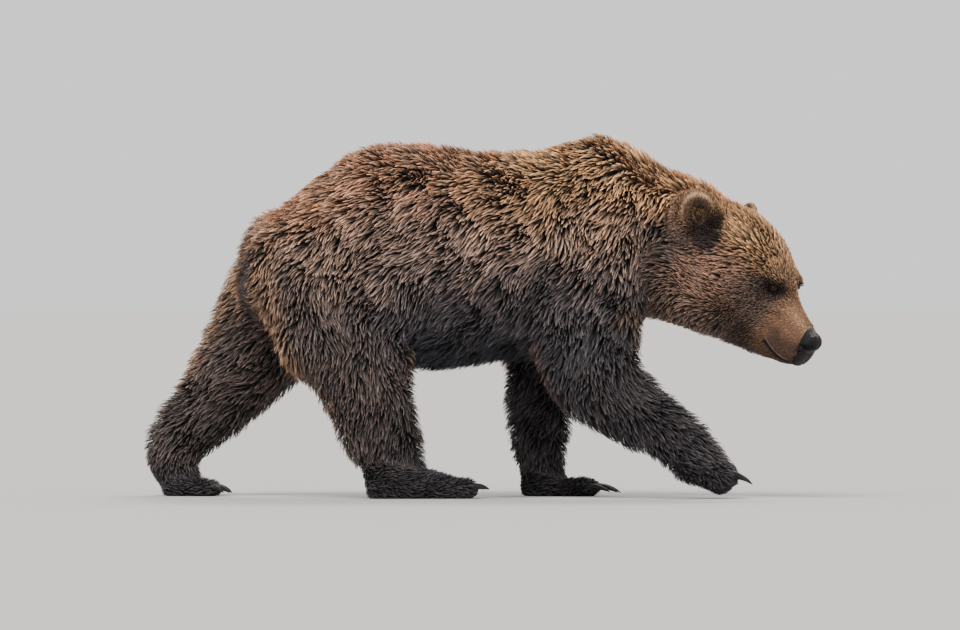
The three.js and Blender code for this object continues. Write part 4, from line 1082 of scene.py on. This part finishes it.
for piece_name in sorted(set(piece_names)):
    chosen = np.flatnonzero(piece_names == piece_name)
    places, faces = ribbons(tufts, chosen)
    coat = mesh_object(piece_name, places, faces)
    shares = TONE_SHARES[None, :, None]
    paint(coat, mix(root_colour[chosen][:, None], tip_colour[chosen][:, None], shares).reshape(-1, 3))
    patch = np.array([(-1, 0), (1, 0), (-1, 0.4), (1, 0.4), (-1, 0.8), (1, 0.8), (0, 1)]) * PATCH / 2
    uv = (0.02 + 0.96 * unwrap[chosen].clip(0, 1))[:, None] + patch[None]
    corners = np.zeros(len(coat.data.loops), np.int32)
    coat.data.loops.foreach_get("vertex_index", corners)
    layer = coat.data.uv_layers.new(name="OFBake")
    layer.data.foreach_set("uv", uv.reshape(-1, 2)[corners].astype(np.float32).ravel())
    slot = next((SLOTS[word] for word in piece_name.split("_") if word in SLOTS), "body_coat")
    finish_piece(coat, fur_material, slot)


# ---- Round forms, lids and lips ----
def sweep(rings, sides, ends):
    """A closed tube through rings, each a middle with two half axes, to a point at each end."""
    angles = np.arange(sides) * 2 * math.pi / sides
    points = [at + np.outer(np.cos(angles), across) + np.outer(np.sin(angles), up)
              for at, across, up in rings]
    a = np.arange(len(rings) * sides).reshape(-1, sides)
    b = np.roll(a, -1, axis=1)
    start, none = np.full(sides, a.size), np.full(sides, -1)
    faces = [np.stack([a[:-1], b[:-1], b[1:], a[1:]], -1).reshape(-1, 4)]
    faces += [np.stack([start, b[0], a[0], none], -1), np.stack([start + 1, a[-1], b[-1], none], -1)]
    return np.concatenate(points + [ends]), np.concatenate(faces)


leather, _ = painted("bare_skin", 0.55, 0.25, 240, (0.75, 1.2), (900, 0.35, 0.001))
LID = dict(thick=2.4, wide=11.5, above=5.6, below=4.8, room=24, step=1.1)


def lid_field(p, name):
    """Two lids over the front of an eye, with an almond opening between them."""
    out, corner, rise = eye_axes(name)
    off = p - EYES[name][0]
    a, b = off @ corner, off @ rise
    arch = np.maximum(1 - (a / LID["wide"]) ** 2, -1)
    opening = np.maximum(b - LID["above"] * arch, -b - LID["below"] * arch)
    r = np.linalg.norm(off, axis=1)
    d = np.abs(r - EYE["radius"] - LID["thick"] / 2) - LID["thick"] / 2
    return smooth_max(smooth_max(d, -opening, 1.5), 3 - off @ out, 3)


for name, (at, out) in EYES.items():
    lid_lines = [np.arange(c - LID["room"], c + LID["room"], LID["step"]) for c in at]
    points, quads, _ = surface(lambda p: lid_field(p, name), lid_lines, 1, 0.5)
    lids = mesh_object(f"{name}_lids", points, quads)
    paint(lids, np.tile(SKIN_DARK, (len(points), 1)))
    finish_piece(lids, leather, "dark_coat")

LIP = dict(above=7, below=7, front=398, proud=1.8, deep=9, slit=1.1, slit_deep=6, step=1.7)


def lips_field(p):
    """The bare edges of both lips, with the slit of the mouth, and the bare skin under the nose."""
    t, side, up = in_head(p)
    off = up - mouth_up(t)
    front = ramp(t, LIP["front"], LIP["front"] + 12)
    above, below = mix(LIP["above"], 60, front), mix(LIP["below"], 12, front)
    share = np.clip(np.where(off > 0, off / above, -off / below), 0, 1)
    level = body(p)
    d = level - LIP["proud"] * (1 - share ** 2) * (1 - 0.6 * front)
    for limit in (off - above, -off - below, up + 10, -(level + LIP["deep"]), MOUTH["start"] - t):
        d = smooth_max(d, limit, 4)
    slit = np.maximum(np.abs(off) - LIP["slit"], -(level + LIP["slit_deep"]))
    cleft = np.where(off > 0, np.maximum(np.abs(side) - 1.3, -(level + 4)), FAR)
    return smooth_max(smooth_max(d, -slit, 2), -cleft, 2)


def head_lines(low, high, step):
    """Grid lines round a box given in the head's own frame."""
    corners = np.array([head_point(t, side, up) for t in (low[0], high[0])
                        for side in (low[1], high[1]) for up in (low[2], high[2])])
    return [np.arange(a, b, step) for a, b in zip(corners.min(0), corners.max(0))]


lip_lines = head_lines((292, -66, -84), (432, 66, 0), LIP["step"])
points, quads, _ = surface(lips_field, lip_lines, 1, 0.8)
lips = mesh_object("lips", points, quads)
t, side, up = in_head(points)
edge = ramp(up - mouth_up(t), 3.0, 5.5) * ramp(t, 398, 385)
paint(lips, mix(SKIN_DARK, linear(122, 98, 82), edge[:, None]))
finish_piece(lips, leather, "dark_coat")


# ---- The nose ----
NOSTRIL = [(446, 17, 17, 10), (434, 19, 15, 10), (424, 24, 12, 9), (412, 32, 7, 6), (399, 43, 3, 3.2)]


def nostril(p, sign):
    places = [head_point(t, sign * side, up) for t, side, up, _ in NOSTRIL]
    radii = [row[3] for row in NOSTRIL]
    d = np.full(len(p), FAR)
    for a, b, ra, rb in zip(places[:-1], places[1:], radii[:-1], radii[1:]):
        off, share = to_segment(p, a, b)
        d = np.minimum(d, off - mix(ra, rb, share))
    return d


def nose_field(p):
    t, side, up = in_head(p)
    d = body(p) + 0.2
    d = smooth_max(d, -((t - 388) * 0.94 + (up - 16) * 0.34), 5)
    d = smooth_max(d, -(up + 13), 6)
    for sign in (1, -1):
        d = smooth_max(d, -nostril(p, sign), 3)
    groove = np.hypot(side, (np.hypot(t - 396, up - 10) - 33) * 0.5)
    return smooth_max(d, -np.maximum(groove - 2.2, 401 - t), 3)


points, quads, _ = surface(nose_field, head_lines((372, -50, -22), (438, 50, 62), 1.8), 1, 1.0)
nose = mesh_object("nose_leather", points, quads)
# The leather darkens to near black deeper under the outer surface: painted shade in the nostrils and the
# groove, partly their own dark skin.
paint(nose, over(linear(13, 13, 18), linear(3, 2, 3), ramp(-in_chunks(body, points), 2, 7)))
nose_material, _ = painted("nose_leather", 0.36, 0.2, 500, (0.7, 1.25), (650, 0.6, 0.0012),
                           kind="ShaderNodeTexVoronoi")
finish_piece(nose, nose_material, "nose", "nose")


# ---- Eyes ----
def ball(at, out, radius, around=48, rows=28):
    helper = unit(np.cross(out, [0, 0, 1.0]))
    other = np.cross(out, helper)
    rings = [(at + radius * math.cos(a) * out, radius * math.sin(a) * other, radius * math.sin(a) * helper)
             for a in np.linspace(0, math.pi, rows + 1)[1:-1]]
    return sweep(rings, around, [at + out * radius, at - out * radius])


eye_material, shader = painted("eye_glass", 0.12, 0.1, 900, (0.8, 1.2))
shader.inputs["Coat Weight"].default_value = 0.25
shader.inputs["Coat Roughness"].default_value = 0.03
for name, (at, out) in EYES.items():
    points, faces = ball(at, out, EYE["radius"] - 0.2)
    eye = mesh_object(f"{name}_ball", points, faces)
    off = np.degrees(np.arccos(np.clip(dot(unit(points - at), out), -1, 1)))[:, None]
    iris = mix(linear(6, 5, 5), linear(56, 30, 16), ramp(off, 15, 20))
    paint(eye, mix(iris, linear(24, 16, 14), ramp(off, 42, 50)))
    finish_piece(eye, eye_material, "eye", name)


# ---- Claws ----
CLAW = dict(hidden=16, half=6.4, high=9, bend=46, steps=14, sides=16)
claw_material, _ = painted("claw_horn", 0.42, 0.3, 300, (0.8, 1.2), (700, 0.25, 0.0008))


def claw(paw, i):
    f, s, u = toe_place(paw, i)
    across = toe_spread(i)
    length = paw["claw"] * (1 - 0.14 * across * across) + CLAW["hidden"]
    bend = math.radians(CLAW["bend"]) / CLAW["steps"]
    angle = math.radians(paw["rise"]) - bend * 0.5
    at = np.array([f + TOE_LONG - CLAW["hidden"], s, u + 5.0])
    rings = []
    for k in range(CLAW["steps"] + 1):
        share = k / CLAW["steps"]
        size = (1 - share ** 2.2) ** 0.8 * (1 - 0.16 * share)
        up = np.array([-math.sin(angle), 0, math.cos(angle)]) * CLAW["high"] * max(size, 0.03)
        side = np.array([0, 1.0, 0]) * CLAW["half"] * max(size, 0.03)
        rings.append((paw["at"] + paw["axes"] @ at, paw["axes"] @ side, paw["axes"] @ up))
        angle -= bend
        at = at + np.array([math.cos(angle), 0, math.sin(angle)]) * length / CLAW["steps"]
    return sweep(rings, CLAW["sides"], [rings[0][0], rings[-1][0]])


for name, paw in PAW_FRAMES.items():
    points, faces = zip(*[claw(paw, i) for i in range(TOES)])
    count = len(points[0])
    faces = [np.where(corners >= 0, corners + i * count, -1) for i, corners in enumerate(faces)]
    claws = mesh_object(f"claws_{name}", np.concatenate(points), np.concatenate(faces))
    ring = (np.arange(count) // CLAW["sides"]).clip(max=CLAW["steps"])
    share = np.tile(ring / CLAW["steps"], TOES)[:, None]
    paint(claws, mix(linear(14, 13, 15), linear(44, 38, 37), share ** 1.5))
    finish_piece(claws, claw_material, "claw", *[f"{name}_claw_{i + 1}" for i in range(TOES)])


# ---- Floor, light and camera ----
FLOOR = 60.0
floor_mesh = bpy.data.meshes.new("floor")
floor_mesh.from_pydata([(-FLOOR, -FLOOR, 0), (FLOOR, -FLOOR, 0), (FLOOR, FLOOR, 0), (-FLOOR, FLOOR, 0)],
                       [], [(0, 1, 2, 3)])
floor = bpy.data.objects.new("floor", floor_mesh)
bpy.context.scene.collection.objects.link(floor)
floor_material, shader = material("floor", 0.9, 0.1)
shader.inputs["Base Color"].default_value = (*linear(172, 172, 172), 1)
floor_mesh.materials.append(floor_material)

world = bpy.data.worlds.new("studio")
bpy.context.scene.world = world
world.use_nodes = True
sky = world.node_tree.nodes["Background"]
sky.inputs["Color"].default_value = (0.94, 0.945, 0.95, 1)
sky.inputs["Strength"].default_value = 1.15


def soft_sun(name, toward, angle, strength, colour):
    data = bpy.data.lights.new(name, "SUN")
    data.angle = math.radians(angle)
    data.energy = strength
    data.color = colour
    light = bpy.data.objects.new(name, data)
    light.rotation_euler = (-Vector(toward)).to_track_quat("-Z", "Y").to_euler()
    bpy.context.scene.collection.objects.link(light)


soft_sun("key", (-0.35, -0.75, 1.5), 30, 3.4, (1.0, 0.96, 0.9))
soft_sun("rim", (0.5, 0.9, 1.2), 20, 2.2, (1.0, 0.92, 0.8))

CAMERA_FAR = 30.0
MM_PER_PIXEL = 2.8
IMAGE_WIDE = 960
camera_data = bpy.data.cameras.new("camera")
camera_data.sensor_width = 36
camera_data.lens = 36 * CAMERA_FAR / (IMAGE_WIDE * MM_PER_PIXEL / 1000)
camera_data.clip_end = 300
camera = bpy.data.objects.new("camera", camera_data)
camera.location = (-0.010, -CAMERA_FAR, 0.780)
aim = Vector((-0.010, 0, 0.510))
camera.rotation_euler = (aim - camera.location).to_track_quat("-Z", "Y").to_euler()
bpy.context.scene.collection.objects.link(camera)
bpy.context.scene.camera = camera
